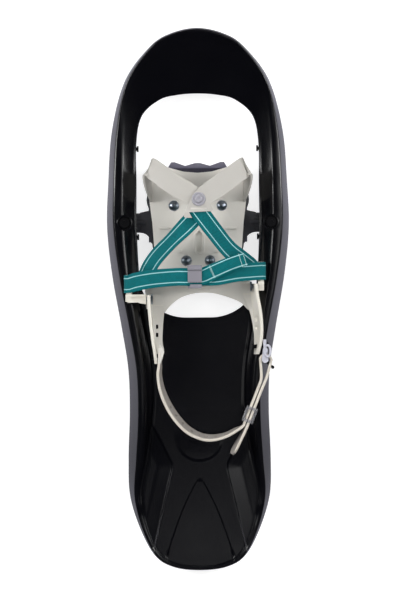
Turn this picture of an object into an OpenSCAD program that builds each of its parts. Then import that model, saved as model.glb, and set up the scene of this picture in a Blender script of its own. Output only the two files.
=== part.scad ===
// Snowshoe with a moulded deck and a webbing binding hung on a torsion strap.
// Units are millimetres. +X is right, +Y is the toe, +Z is up; the deck is centred on
// the origin and the tooth tips stand on Z = 0.

/* [Deck] */
// Deck length, nose to tail
deck_length = 610; // [540:1:700]
// Deck width at its widest, beside the cross strap
deck_width = 206; // [190:1:230]
// Deck width at the waist, behind the heel
waist_width = 158; // [146:1:176]
// Deck width at the hips of the tail
hip_width = 162; // [150:1:180]
// Height of the deck's lower edge over the ground
edge_height = 14; // [12:0.5:20]
// Height of the side rails over that edge
rail_rise = 24; // [20:0.5:32]
// Wall of the moulded rails
deck_wall = 3; // [2:0.1:4]
// Thickness of the tail floor
floor_thick = 3.5; // [2.5:0.1:5]
// Rise of the nose tip
toe_lift = 42; // [20:1:60]
// Height of the raised heel and tail panel
panel_rise = 2; // [1:0.1:3]

/* [Toe opening] */
// Front edge of the opening, ahead of the deck's middle
opening_front = 232.5; // [225:0.5:240]
// Rear edge of the opening, behind the deck's middle
opening_rear = 19.5; // [15:0.5:26]
// Width of the opening between the rails
opening_width = 138; // [132:0.5:144]
// Radius of the opening's rear corners
opening_corner = 55; // [44:1:60]

/* [Cross strap] */
// Cross strap, ahead of the deck's middle
pivot_y = 87.5; // [82:0.5:92]
// Height of the cross strap over the ground
pivot_z = 21.6; // [21:0.1:23]
// Width of the cross strap
strap_width = 22; // [18:0.5:26]
// Thickness of the cross strap
strap_thick = 3.6; // [3:0.1:4]
// Radius of the bead along the strap's twist axis
bead_r = 3; // [2.2:0.1:3.2]
// Offset of the rail bolts from the middle
strap_bolt_x = 82.5; // [80:0.5:86]
// Radius of the rail bolts
strap_bolt_r = 3; // [2.5:0.1:3.5]
// Radius of the rail bolts' round caps
cap_r = 6.6; // [6:0.1:7]

/* [Traction rails] */
// Thickness of the traction blades
blade_thick = 2; // [1.5:0.1:3]
// Pitch of the blade teeth
tooth_pitch = 21; // [16:0.5:26]
// Depth of the blade teeth
tooth_depth = 11; // [8:0.5:13]
// Radius of the rail screws
rail_screw_r = 2; // [1.5:0.1:2.5]

/* [Foot plate] */
// Thickness of the foot plate
plate_thick = 4; // [3:0.1:5]
// Width of the foot plate at the cross strap
plate_width = 103; // [98:0.5:108]
// Spacing of the front plate bolts
front_bolt_gap = 54; // [46:0.5:60]
// Spacing of the rear plate bolts
rear_bolt_gap = 26.5; // [22:0.5:34]
// Radius of the plate bolts
plate_bolt_r = 3; // [2.5:0.1:3.5]
// Radius of the plate bolts' dome heads
dome_r = 6; // [5:0.1:7]

/* [Toe crampon] */
// Thickness of the crampon steel
crampon_thick = 2.5; // [2:0.1:3]
// Clearance of the crampon teeth over the ground
crampon_clear = 1; // [0.5:0.1:4]

/* [Toe flaps] */
// Width of the flap bands
flap_width = 23; // [20:0.5:26]
// Thickness of the flaps
flap_thick = 2.6; // [2:0.1:3.2]
// Height of the flap rivet over the foot plate
flap_rise = 52; // [46:0.5:60]
// Radius of the flap rivet's stud
stud_r = 3; // [2:0.1:4]

/* [Webbing] */
// Width of the webbing
web_width = 20; // [18:0.5:22]
// Thickness of the webbing
web_thick = 1.8; // [1.2:0.1:2.2]
// Radius of the guide bars
bar_r = 3.5; // [2.5:0.1:4]
// Height of the guide bars over the foot plate
bar_rise = 19; // [18:0.5:22]

/* [Heel strap] */
// Height of the heel strap's band
heel_band = 16; // [12:0.5:18]
// Thickness of the heel strap
heel_thick = 3; // [2:0.1:3.4]
// Height of the strap's rivets over the foot plate
heel_rise = 28; // [26:0.5:34]
// Radius of the strap's rivets
heel_pin_r = 2.2; // [1.8:0.1:2.8]

/* [Fits] */
// Clearance of bolts, pins and moving fits, each side
fit = 0.2; // [0.15:0.05:0.4]

/* [Hidden] */
nose_y = deck_length / 2;
half_w = deck_width / 2;
half_waist = waist_width / 2;
half_hip = hip_width / 2;
half_open = opening_width / 2;
rear_y = -opening_rear;
lift_start = 140;
floor_rise = 8;
floor_z = edge_height + floor_rise;
floor_tilt = 1;
crest_z = edge_height + rail_rise;
strap_low = pivot_z - strap_thick / 2;
strap_top = pivot_z + strap_thick / 2;
strap_split = half_open - 0.6;
strap_end_tail = 2.8;
plate_z = strap_top;
plate_top = plate_z + plate_thick;
crampon_z = strap_low - crampon_thick;
rivet_p = [1, pivot_y + 25];
flap_z = plate_top + flap_rise - 3;
web_gap = web_thick / 2 + fit;
bar_z = plate_top + bar_rise;
left_bar = [-77.8, 18.6];
right_bar = [70, 32.2];
wrap_r = bar_r + web_gap + 0.2;
buckle_p = [-4, 26];
buckle_z = plate_top + 37.6;
pin_z = plate_top + heel_rise;
left_pin = [-44, -62, pin_z];
right_pin = [66.5, -52, pin_z];
blade_x = half_open + deck_wall + 0.6;
front_bolts = [[-front_bolt_gap / 2, pivot_y + 19], [front_bolt_gap / 2, pivot_y + 19]];
rear_bolts = [[-rear_bolt_gap / 2, pivot_y - 43], [rear_bolt_gap / 2, pivot_y - 43]];
plate_bolt_spots = concat(front_bolts, rear_bolts);
rail_screw_spots = [nose_y - 134, pivot_y - 16];
rail_screw_z = edge_height + 7.5;
rivet_spot = [half_waist - 26, rear_y - 1.5];

// Curves and lofts

function blend(a, b, c, d, t) =
    0.5 * (2 * b + (c - a) * t + (2 * a - 5 * b + 4 * c - d) * t * t
        + (3 * b - a - 3 * c + d) * t * t * t);

function loop_curve(p, steps) =
    let (n = len(p))
    [for (i = [0:n - 1], s = [0:steps - 1])
        blend(p[(i + n - 1) % n], p[i], p[(i + 1) % n], p[(i + 2) % n], s / steps)];

function open_curve(p, steps) =
    let (n = len(p), q = concat([2 * p[0] - p[1]], p, [2 * p[n - 1] - p[n - 2]]))
    concat([for (i = [1:n - 1], s = [0:steps - 1])
        blend(q[i - 1], q[i], q[i + 1], q[i + 2], s / steps)], [p[n - 1]]);

function unit(v) = v / norm(v);

module loft(rings, closed) {
    n = len(rings);
    m = len(rings[0]);
    last = closed ? n - 1 : n - 2;
    sides = [for (i = [0:last], j = [0:m - 1])
        let (a = i * m + j, b = i * m + (j + 1) % m)
        let (c = ((i + 1) % n) * m + (j + 1) % m, d = ((i + 1) % n) * m + j)
        each [[a, c, b], [a, d, c]]];
    caps = closed ? [] : [[for (j = [0:m - 1]) j], [for (j = [m - 1:-1:0]) (n - 1) * m + j]];
    polyhedron([for (r = rings) each r], concat(sides, caps), convexity = 8);
}

// A flat band laid along rows of [x, y, z, side x, side y, side z, width]
module band(rows, thick, steps) {
    line = open_curve(rows, steps);
    n = len(line);
    rings = [for (i = [0:n - 1])
        let (p = [line[i][0], line[i][1], line[i][2]])
        let (a = line[max(i - 1, 0)], b = line[min(i + 1, n - 1)])
        let (along = unit([b[0] - a[0], b[1] - a[1], b[2] - a[2]]))
        let (raw = unit([line[i][3], line[i][4], line[i][5]]))
        let (side = unit(raw - along * (raw * along)) * line[i][6] / 2)
        let (up = unit(cross(along, side)) * thick / 2)
        [p - side - up, p + side - up, p + side + up, p - side + up]];
    loft(rings, false);
}

module mirrored() {
    children();
    mirror([1, 0, 0]) children();
}

module along_x(p, r, h) {
    translate(p) rotate([0, 90, 0]) cylinder(r = r, h = h, $fn = 40);
}

module along_y(p, r, h) {
    translate(p) rotate([-90, 0, 0]) cylinder(r = r, h = h, $fn = 40);
}

module hex_nut(across, h, bore) {
    difference() {
        cylinder(d = across / cos(30), h = h, $fn = 6);
        translate([0, 0, -1]) cylinder(r = bore, h = h + 2, $fn = 40);
    }
}

module dome(r, h) {
    ball = (r * r + h * h) / (2 * h);
    intersection() {
        translate([0, 0, h - ball]) sphere(r = ball, $fn = 48);
        cylinder(r = r, h = h, $fn = 48);
    }
}

// Deck

function lift(y) = y > lift_start ? toe_lift * pow((y - lift_start) / (nose_y - lift_start), 2) : 0;

// Half of the deck's sections from nose to tail: outer x, y, inner x, y, then the rises
// of edge, crest and inner rim, the depth of the rim's skirt, and where the crest starts
// and ends on the way in
deck_half = [
    [0, nose_y, 0, opening_front, 0, 6, 8, 3, 0.014, 0.12],
    [0.291 * half_w, nose_y - 6, 0.32 * half_open, opening_front - 1.5, 0, 6.6, 8, 3, 0.016, 0.13],
    [0.515 * half_w, nose_y - 20.5, 0.615 * half_open, opening_front - 6.8, 0, 8, 8, 3, 0.03, 0.15],
    [0.786 * half_w, nose_y - 57, 0.9 * half_open, opening_front - 24.3, 0, 14, 9, 5, 0.12, 0.34],
    [0.937 * half_w, nose_y - 112, half_open - 0.3, opening_front - 54, 0, rail_rise - 4, 11, 10, 0.26, 0.52],
    [0.985 * half_w, pivot_y + 44, half_open, pivot_y + 44, 0, rail_rise, 13, 12, 0.27, 0.55],
    [half_w, pivot_y - 6, half_open, pivot_y - 6, 0, rail_rise, 13, 12, 0.27, 0.55],
    [half_w - 5.5, pivot_y - 60, half_open - 3, pivot_y - 64, 0, rail_rise, 11, 8, 0.28, 0.56],
    [half_waist + 8.5, rear_y - 10.5, half_waist - 21.5, rear_y - 10.5, 0, rail_rise, floor_rise,
        floor_thick, 0.29, 0.58],
    [half_waist + 1.3, rear_y - 58, half_waist - 28.5, rear_y - 58, 0, rail_rise - 1,
        floor_rise + 1, floor_thick, 0.29, 0.58],
    [half_waist, 180 - nose_y, half_waist - 29, 180 - nose_y, 0, rail_rise - 3,
        floor_rise + 1.8, floor_thick, 0.3, 0.6],
    [half_hip - 0.2, 125 - nose_y, half_hip - 22.5, 127 - nose_y, 1, rail_rise - 7,
        floor_rise + 2.8, floor_thick, 0.36, 0.66],
    [half_hip - 2, 83 - nose_y, half_hip - 15, 87 - nose_y, 2.5, rail_rise - 9.5,
        floor_rise + 3.4, floor_thick, 0.4, 0.7],
    [half_hip - 15, 43 - nose_y, half_hip - 22, 48 - nose_y, 5, rail_rise - 10.3,
        floor_rise + 4.2, floor_thick, 0.2, 0.7],
    [half_hip - 31, 15.5 - nose_y, half_hip - 35.5, 20.5 - nose_y, 7, rail_rise - 10.4,
        floor_rise + 4.6, floor_thick, 0.07, 0.7],
    [half_hip - 52, 3.4 - nose_y, half_hip - 55.5, 8.9 - nose_y, 7.8, rail_rise - 10.3,
        floor_rise + 4.8, floor_thick, 0.06, 0.7],
    [0, -nose_y, 0, 5.5 - nose_y, 8, rail_rise - 10.3, floor_rise + 4.9, floor_thick, 0.06, 0.7]];

function flip_section(s) = [for (i = [0:len(s) - 1]) i == 0 || i == 2 ? -s[i] : s[i]];

deck_loop = loop_curve(concat(deck_half, [for (i = [len(deck_half) - 2:-1:1])
    flip_section(deck_half[i])]), 4);

function deck_point(s, f, rise) =
    let (x = s[0] + (s[2] - s[0]) * f, y = s[1] + (s[3] - s[1]) * f)
    [x, y, edge_height + lift(y) + rise];

function deck_section(s) =
    let (run = norm([s[2] - s[0], s[3] - s[1]]), t = min(deck_wall / run, 0.25))
    let (mid = (s[9] + 1.06) / 2, sag = (s[5] + s[6]) / 2 - 0.6)
    [deck_point(s, 0, s[4]), deck_point(s, s[8], s[5] - 1.4), deck_point(s, s[8] + 0.05, s[5]),
        deck_point(s, s[9], s[5]), deck_point(s, s[9] + 0.05, s[5] - 1.2),
        deck_point(s, mid, sag), deck_point(s, 1, s[6]), deck_point(s, 1, s[6] - s[7]),
        deck_point(s, 1 - t, s[6] - s[7]), deck_point(s, 1 - t, s[6] - deck_wall + 0.1),
        deck_point(s, mid - 0.02, sag - deck_wall), deck_point(s, s[9] - 0.02, s[5] - deck_wall),
        deck_point(s, max(s[8] + 0.09, 2.2 / run), s[5] - deck_wall), deck_point(s, 1.3 * t, s[4])];

// Plan points of the tail floor, run a little way into the rails' inner walls
floor_side = [for (i = [26:64])
    let (s = deck_loop[i], run = norm([s[2] - s[0], s[3] - s[1]]))
    let (f = 1 - min(deck_wall * 0.7 / run, 0.3))
    [s[0] + (s[2] - s[0]) * f, s[1] + (s[3] - s[1]) * f]];

corner_x = half_open - opening_corner;
corner_y = rear_y + opening_corner;
opening_rear_edge = [for (a = [0:7.5:90])
    [corner_x + opening_corner * cos(a), corner_y - opening_corner * sin(a)]];

module floor_plan() {
    right = concat([for (i = [len(opening_rear_edge) - 1:-1:0]) opening_rear_edge[i]],
        [for (p = floor_side) if (p[1] < corner_y - 1) p]);
    left = [for (i = [len(right) - 1:-1:0]) [-right[i][0], right[i][1]]];
    polygon(concat(right, left));
}

// The heel and tail panel, narrow between the two pockets' rear ends
panel_half = [[0, rear_y - 3], [38, rear_y - 3], [44, rear_y - 16], [half_waist - 32, -100],
    [half_waist - 30.5, 160 - nose_y], [half_hip - 49.5, 121 - nose_y], [half_hip - 49.5, 115 - nose_y],
    [half_hip - 28, 22 - nose_y], [30, 9 - nose_y], [0, 7.5 - nose_y]];

module both_sides(half) {
    polygon(concat(half, [for (i = [len(half) - 2:-1:1]) [-half[i][0], half[i][1]]]));
}

module tail_forms() {
    difference() {
        union() {
            translate([0, 0, -1]) linear_extrude(panel_rise + 1) both_sides(panel_half);
            // heel pad with its rounded rear end
            translate([0, 0, -1]) linear_extrude(panel_rise + 2) hull() {
                translate([0, 150 - nose_y]) circle(r = 26, $fn = 64);
                translate([-37, rear_y - 40]) square([74, 20]);
            }
        }
        // sunk arrow panel on the tail
        translate([0, 0, panel_rise - 1.3]) linear_extrude(3)
            polygon([[-3, 102 - nose_y], [3, 102 - nose_y], [37, 11 - nose_y], [-37, 11 - nose_y]]);
    }
}

// Moulded grip bars under the tail floor, four arrows of two legs each
module grip_bars() {
    for (y = [-80, -125, -170, -215]) {
        mirrored() hull() {
            translate([1, y + 12, -floor_thick - 5]) cylinder(r1 = 1.4, r2 = 2.6, h = 6, $fn = 16);
            translate([32, y, -floor_thick - 5]) cylinder(r1 = 1.4, r2 = 2.6, h = 6, $fn = 16);
        }
    }
}

module deck() {
    color([0.06, 0.06, 0.07]) difference() {
        union() {
            loft([for (s = deck_loop) deck_section(s)], true);
            translate([0, rear_y, floor_z]) rotate([-floor_tilt, 0, 0]) translate([0, -rear_y, 0]) {
                translate([0, 0, -floor_thick]) linear_extrude(floor_thick) floor_plan();
                tail_forms();
                grip_bars();
            }
            // bolt towers inside the rails
            mirrored() translate([strap_bolt_x, pivot_y, strap_top + 0.1])
                cylinder(r = cap_r + 2.4, h = crest_z + 1.2 - strap_top, $fn = 48);
        }
        mirrored() {
            translate([strap_bolt_x, pivot_y, strap_top - 1]) cylinder(r = strap_bolt_r + fit, h = 40, $fn = 40);
            translate([strap_bolt_x, pivot_y, crest_z - 3]) cylinder(r = cap_r + 0.7, h = 20, $fn = 48);
            // way for the cross strap through the rim's skirt
            translate([half_open - 6, pivot_y - strap_width / 2 - 1.2, strap_low - 12])
                cube([deck_wall + 10, strap_width + 2.4, strap_thick + 12 + bead_r]);
            for (y = rail_screw_spots) along_x([half_open - 6, y, rail_screw_z], rail_screw_r + fit, 14);
            translate([rivet_spot[0], rivet_spot[1], floor_z - 12]) cylinder(r = 2 + fit, h = 20, $fn = 32);
        }
    }
}

// Cross strap ends, held in the rails

module strap_end() {
    color([0.17, 0.17, 0.18]) difference() {
        union() {
            translate([strap_split, pivot_y - strap_width / 2, strap_low])
                cube([strap_bolt_x + strap_bolt_r + strap_end_tail - strap_split, strap_width, strap_thick]);
            along_x([strap_split, pivot_y, pivot_z], bead_r, strap_bolt_x - cap_r - 4 - strap_split);
        }
        translate([strap_bolt_x, pivot_y, 0]) cylinder(r = strap_bolt_r + fit, h = 60, $fn = 40);
    }
}

module right_strap_end() strap_end();
module left_strap_end() mirror([1, 0, 0]) strap_end();

module strap_bolts() {
    color([0.12, 0.12, 0.13]) mirrored() translate([strap_bolt_x, pivot_y, 0]) {
        translate([0, 0, strap_low - 8]) cylinder(r = strap_bolt_r, h = crest_z - strap_low + 6, $fn = 40);
        difference() {
            union() {
                translate([0, 0, crest_z - 3]) cylinder(r = cap_r, h = 2.6, $fn = 48);
                translate([0, 0, crest_z - 0.4]) cylinder(r1 = cap_r, r2 = cap_r - 1, h = 1, $fn = 48);
            }
            translate([0, 0, crest_z - 1]) cylinder(d = 5.6, h = 4, $fn = 6);
        }
    }
}

module strap_nuts() {
    color([0.6, 0.6, 0.62]) mirrored() translate([strap_bolt_x, pivot_y, 0]) {
        difference() {
            union() {
                translate([0, 0, strap_low - 1.5]) cylinder(r = 6.4, h = 1.5, $fn = 40);
                translate([0, 0, strap_low - 6.5]) cylinder(d = 10 / cos(30), h = 5, $fn = 6);
            }
            translate([0, 0, strap_low - 20]) cylinder(r = strap_bolt_r + 0.05, h = 40, $fn = 40);
        }
    }
}

// Traction rails

blade_front = nose_y - 121;
// where the rail outside the blade gets too narrow for it
blade_room = blade_x + blade_thick + 8.4;
blade_back = rear_y - 10.5 - (half_waist + 8.5 - blade_room) * 47.5 / 7.2;
blade_top = edge_height + 10.5;
tooth_count = floor((blade_front - blade_back) / tooth_pitch);

module blade_profile() {
    notch = strap_width / 2 + 1.6;
    teeth = [for (i = [0:tooth_count - 1])
        let (y = blade_back + i * tooth_pitch)
        each [[y, tooth_depth], [y + 0.36 * tooth_pitch, 0], [y + 0.54 * tooth_pitch, 0]]];
    difference() {
        polygon(concat(teeth, [[blade_back + tooth_count * tooth_pitch, tooth_depth],
            [blade_front, tooth_depth + 3], [blade_front, blade_top], [blade_back, blade_top]]));
        translate([pivot_y - notch, strap_low - bead_r - 1]) square([2 * notch, 20]);
        for (y = rail_screw_spots) translate([y, rail_screw_z]) circle(r = rail_screw_r + fit, $fn = 32);
    }
}

module traction_rail() {
    tab_z = floor_z - floor_thick - 2.2;
    color([0.45, 0.45, 0.48]) union() {
        translate([blade_x, 0, 0]) rotate([90, 0, 90]) linear_extrude(blade_thick) blade_profile();
        difference() {
            union() {
                translate([rivet_spot[0], rivet_spot[1] - 8, tab_z])
                    cube([blade_x + blade_thick / 2 - rivet_spot[0], 16, 2]);
                translate([rivet_spot[0], rivet_spot[1], tab_z]) cylinder(r = 8, h = 2, $fn = 48);
            }
            translate([rivet_spot[0], rivet_spot[1], 0]) cylinder(r = 2 + fit, h = 40, $fn = 32);
        }
    }
}

module right_traction_rail() traction_rail();
module left_traction_rail() mirror([1, 0, 0]) traction_rail();

module rail_screws() {
    color([0.2, 0.2, 0.21]) mirrored() for (y = rail_screw_spots) {
        along_x([half_open - 2.6, y, rail_screw_z], 3.4, 2);
        along_x([half_open - 1, y, rail_screw_z], rail_screw_r, 12);
    }
}

module rail_nuts() {
    color([0.6, 0.6, 0.62]) mirrored() for (y = rail_screw_spots)
        translate([blade_x + blade_thick + 0.1, y, rail_screw_z]) rotate([0, 90, 0])
            hex_nut(7, 3.2, rail_screw_r + 0.05);
}

module deck_rivets() {
    color([0.15, 0.15, 0.16]) mirrored() translate([rivet_spot[0], rivet_spot[1], 0]) {
        translate([0, 0, floor_z + 0.1]) dome(3.6, 1.8);
        translate([0, 0, floor_z - floor_thick - 3.4]) cylinder(r = 2, h = floor_thick + 4.2, $fn = 32);
        translate([0, 0, floor_z - floor_thick - 3.6]) cylinder(r = 3.4, h = 1.3, $fn = 32);
    }
}

// Binding

half_plate = plate_width / 2;

module plate_bolt_holes() {
    for (p = plate_bolt_spots) translate([p[0], p[1], 0]) cylinder(r = plate_bolt_r + fit, h = 80, $fn = 40);
}

module pivot_strap() {
    flare = [for (a = [0:15:90])
        [strap_split - 3 - 14 * sin(a), pivot_y - strap_width / 2 - 16 * (1 - cos(a))]];
    half = concat([[strap_split, pivot_y + strap_width / 2], [strap_split, pivot_y - strap_width / 2]],
        flare, [[half_plate - 5, pivot_y - 48], [20, pivot_y - 50], [-20, pivot_y - 50]]);
    left = [for (i = [len(half) - 3:-1:0]) [-half[i][0], half[i][1]]];
    // rounded ears that stand out beside the plate
    ear = [for (a = [0:15:90]) [half_plate + 3 + 3.4 * sin(2 * a), pivot_y + strap_width / 2 + 3 + 24 * a / 90]];
    front = concat([for (p = ear) [-p[0], p[1]]], [[-half_plate + 6, pivot_y + 42], [half_plate - 6, pivot_y + 42]],
        [for (i = [len(ear) - 1:-1:0]) ear[i]]);
    color([0.17, 0.17, 0.18]) difference() {
        union() {
            translate([0, 0, strap_low]) linear_extrude(strap_thick) polygon(concat(half, left, front));
            mirrored() along_x([half_plate + 7.5, pivot_y, pivot_z], bead_r, strap_split - half_plate - 7.5);
        }
        plate_bolt_holes();
    }
}

module crampon_teeth(profile, thick) {
    rotate([90, 0, 0]) translate([0, 0, -thick / 2]) linear_extrude(thick) polygon(profile);
}

module toe_crampon() {
    drop = crampon_z + crampon_thick - crampon_clear;
    reach = drop / cos(24);
    front_y = pivot_y + 60.5;
    color([0.4, 0.4, 0.43]) difference() {
        union() {
            translate([0, 0, crampon_z]) linear_extrude(crampon_thick) polygon([
                [-half_plate - 2, pivot_y + 40], [-half_plate - 2, pivot_y - 22], [-26, pivot_y - 52],
                [26, pivot_y - 52], [half_plate + 2, pivot_y - 22], [half_plate + 2, pivot_y + 40],
                [34, front_y + 0.5], [-34, front_y + 0.5]]);
            // front points, leaning forward
            translate([0, front_y, crampon_z + crampon_thick / 2]) rotate([24, 0, 0])
                crampon_teeth([[-34, 0.6], [34, 0.6], [30, -reach + 2], [26, -reach + 2], [14, -7], [3, -reach + 5],
                    [-3, -reach + 5], [-14, -7], [-26, -reach + 2], [-30, -reach + 2]], crampon_thick);
            // side points
            mirrored() translate([half_plate + 2 + crampon_thick / 2 - 0.4, 0, 0]) rotate([0, 0, 90])
                crampon_teeth([[pivot_y - 22, crampon_z + crampon_thick], [pivot_y - 14, crampon_clear],
                    [pivot_y - 10, crampon_clear], [pivot_y - 2, crampon_z - 4], [pivot_y + 12, crampon_z - 4],
                    [pivot_y + 22, crampon_clear], [pivot_y + 27, crampon_clear],
                    [pivot_y + 38, crampon_z + crampon_thick]], crampon_thick);
            // rear points
            translate([0, pivot_y - 51, crampon_z + crampon_thick / 2]) rotate([-12, 0, 0])
                crampon_teeth([[-26, 0.6], [26, 0.6], [20, -drop + 2], [16, -drop + 2], [6, -7], [-6, -7],
                    [-16, -drop + 2], [-20, -drop + 2]], crampon_thick);
        }
        plate_bolt_holes();
    }
}

// half of the front outline, then the rear arch, which is cut further out on the right
plate_front = [[0, pivot_y + 56], [16, pivot_y + 57.5], [32, pivot_y + 62], [45, pivot_y + 67],
    [half_plate + 3.5, pivot_y + 58], [half_plate + 3, pivot_y + 24], [half_plate, pivot_y],
    [half_plate - 2.5, pivot_y - 34], [half_plate + 5, pivot_y - 62], [half_plate + 9, pivot_y - 72],
    [half_plate + 9.5, pivot_y - 97]];
plate_arch = open_curve([[55.8, pivot_y - 99], [47.3, pivot_y - 90.5], [33.7, pivot_y - 84.6], [20, pivot_y - 80.6],
    [6.6, pivot_y - 79.2], [-6.9, pivot_y - 80.5], [-20.6, pivot_y - 85.1], [-31.5, pivot_y - 93.4],
    [-37.6, pivot_y - 101]], 3);

module hook_plan(r) {
    translate([0, -17]) circle(r = r, $fn = 48);
    polygon([[-r, -17], [r, -17], [r, 0], [0, 1.1 * r], [-r, 0]]);
}

module foot_plate() {
    color([0.8, 0.8, 0.78]) difference() {
        union() {
            translate([0, 0, plate_z]) linear_extrude(plate_thick)
                polygon(concat(plate_front, plate_arch, [[-half_plate - 7.5, pivot_y - 97]],
                    [for (i = [len(plate_front) - 2:-1:1]) [-plate_front[i][0], plate_front[i][1]]]));
            // moulded hook rib in the middle
            translate([1.2, pivot_y - 13.2, plate_top - 1]) linear_extrude(4.5) difference() {
                hook_plan(6.2);
                hook_plan(3.8);
            }
            // cross bars and gussets
            mirrored() {
                translate([32, pivot_y - 7.5, plate_top - 1]) cube([11, 2, 2.6]);
                translate([18.5, pivot_y - 34, plate_top - 1]) cube([4.5, 3.5, 4]);
            }
        }
        plate_bolt_holes();
    }
}

module plate_bolts() {
    color([0.7, 0.7, 0.72]) for (p = plate_bolt_spots) translate([p[0], p[1], 0]) {
        translate([0, 0, plate_top]) dome(dome_r, 3.2);
        translate([0, 0, crampon_z - 5]) cylinder(r = plate_bolt_r, h = plate_top - crampon_z + 6, $fn = 40);
    }
}

module plate_nuts() {
    color([0.6, 0.6, 0.62]) for (p = plate_bolt_spots) translate([p[0], p[1], crampon_z - 4.5])
        hex_nut(10, 4.5, plate_bolt_r + 0.05);
}

// Toe flaps: up from the plate's edge, folded over and laid on each other at the rivet

module flap_rows(s, z) {
    out = half_plate + 1.5;
    rows = [[s * out, pivot_y + 40, plate_top - 4, 0, 1, 0, flap_width + 10],
        [s * out, pivot_y + 40.5, plate_top + 5, 0, 1, 0, flap_width + 9],
        [s * (out + 0.8), pivot_y + 47, plate_top + 20, s * -0.2, 0.98, 0, flap_width + 5],
        [s * (out + 1.4), pivot_y + 56, plate_top + 33, s * -0.42, 0.91, 0, flap_width + 1],
        [s * (out + 0.4), pivot_y + 60.3, plate_top + 38.3, s * -0.48, 0.88, 0, flap_width],
        [s * (out - 4.2), pivot_y + 58, plate_top + 41, s * -0.52, 0.85, 0, flap_width],
        [s * 27, pivot_y + 42, (z + plate_top + 43) / 2 + 0.8, s * -0.55, 0.835, 0, flap_width],
        [s * 13 + 1, pivot_y + 33, z, s * -0.55, 0.835, 0, flap_width],
        [s * 4 + 1, pivot_y + 27.5, z, s * -0.55, 0.835, 0, flap_width - 3],
        [s * -4 + 1, pivot_y + 22.5, z, s * -0.55, 0.835, 0, flap_width - 7]];
    difference() {
        band(rows, flap_thick, 5);
        translate([-deck_width / 2, pivot_y, plate_top - 19.9]) cube([deck_width, 120, 20]);
    }
}

module rivet_hole() {
    translate([rivet_p[0], rivet_p[1], flap_z - 20]) cylinder(r = stud_r + fit, h = 60, $fn = 40);
}

module left_toe_flap() {
    color([0.85, 0.84, 0.83]) difference() {
        flap_rows(-1, flap_z);
        rivet_hole();
    }
}

over_z = flap_z + flap_thick + 0.3;
tongue_y = pivot_y + 9;

module right_toe_flap() {
    color([0.85, 0.84, 0.83]) difference() {
        union() {
            flap_rows(1, over_z);
            // tongue that takes the webbing
            translate([0, 0, over_z - flap_thick / 2]) linear_extrude(flap_thick) polygon([
                [-6, rivet_p[1] + 5], [-9.5, rivet_p[1] - 3], [-14.4, tongue_y + 1.5], [-15.6, tongue_y - 3.2],
                [-14.2, tongue_y - 4.7], [-6.4, tongue_y - 4.8], [-9.8, tongue_y + 1.4], [15.5, tongue_y + 2.4],
                [16.8, tongue_y + 4.2], [12.5, rivet_p[1] - 2], [12, rivet_p[1] + 8]]);
        }
        rivet_hole();
        // webbing slot
        translate([-8, tongue_y + 4.6, over_z - 5]) cube([18, 1.9, 10]);
    }
}

module flap_rivet() {
    low = flap_z - flap_thick / 2;
    color([0.62, 0.62, 0.64]) translate([rivet_p[0], rivet_p[1], 0]) {
        translate([0, 0, low - 1.6]) cylinder(r = 6, h = 1.5, $fn = 48);
        translate([0, 0, low - 1]) cylinder(r = stud_r, h = 2 * flap_thick + 3, $fn = 40);
        translate([0, 0, over_z + flap_thick / 2 + 0.1]) cylinder(r1 = 7.8, r2 = 7.1, h = 1.2, $fn = 48);
        translate([0, 0, over_z + flap_thick / 2 + 1.2]) dome(4, 1.6);
    }
}

// Heel arms: an upright wall on a narrow flange, rising towards the heel strap

// rows of [y, wall foot x, foot z, wall lean, wall height, flange]
function arm_ring(r, s) =
    let (t = 3.4, f = 3)
    [[s * (r[1] - t), r[0], r[2] + f], [s * (r[1] - t + r[3]), r[0], r[2] + r[4]],
        [s * (r[1] + r[3]), r[0], r[2] + r[4]], [s * r[1], r[0], r[2]],
        [s * (r[1] - t - r[5]), r[0], r[2]], [s * (r[1] - t - r[5]), r[0], r[2] + f]];

module heel_arm(rows, s, pin) {
    line = open_curve(rows, 3);
    n = len(line);
    rings = [for (i = [0:n - 1]) arm_ring(line[i], s)];
    difference() {
        loft(s > 0 ? [for (i = [n - 1:-1:0]) rings[i]] : rings, false);
        on_pin_axis() translate([0, 0, -30]) cylinder(r = heel_pin_r + fit, h = 240, $fn = 40);
        children();
    }
}

// Places children on the heel strap's swing axis, from the left rivet towards the right
module on_pin_axis() {
    run = right_pin - left_pin;
    translate(left_pin) rotate([0, 90, atan2(run[1], run[0])]) children();
}

left_arm = [[6, 56.5, plate_top + 0.1, 1, 30, 12], [-8, 56, plate_top + 0.7, 1, 31, 14],
    [-26, 54.8, plate_top + 5, 0.6, 31, 11.4], [-46, 52.5, plate_top + 9.5, 0.4, 28.5, 8.2],
    [-58, 50.8, plate_top + 12.3, 0.3, 25.5, 8], [-71, 49.4, plate_top + 14, 0.2, 20, 0.6]];
right_arm = [[18, 61.5, plate_top + 0.1, 5, 30, 10], [4, 62.5, plate_top + 0.8, 5.5, 31, 8.5],
    [-14, 64.5, plate_top + 6, 6.5, 30, 3.4], [-34, 66, plate_top + 13, 6.2, 26, 1],
    [-48, 66.6, plate_top + 18, 4.4, 20, 1], [-61, 66, plate_top + 22, 1.6, 13, 0.8]];

module arm_slots(x, y, long, tall) {
    for (d = [-5, 5]) translate([x, y + d, plate_top + 22]) cube([24, long, tall], center = true);
}

module left_heel_arm() {
    color([0.88, 0.87, 0.83]) heel_arm(left_arm, -1, left_pin) {
        along_x([-70, left_guide_y, bar_z], guide_bolt_r + fit, 30);
        arm_slots(-60, -34, 3, 6);
        for (d = [-4.6, 4.6]) translate([-46.8, -34.2 + d, plate_top + 8]) cube([2.6, 4.6, 18], center = true);
    }
}

module right_heel_arm() {
    color([0.88, 0.87, 0.83]) heel_arm(right_arm, 1, right_pin) {
        along_x([50, right_guide_y, bar_z], guide_bolt_r + fit, 30);
        arm_slots(66, -27, 4.6, 10);
    }
}

// Webbing guides

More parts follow.
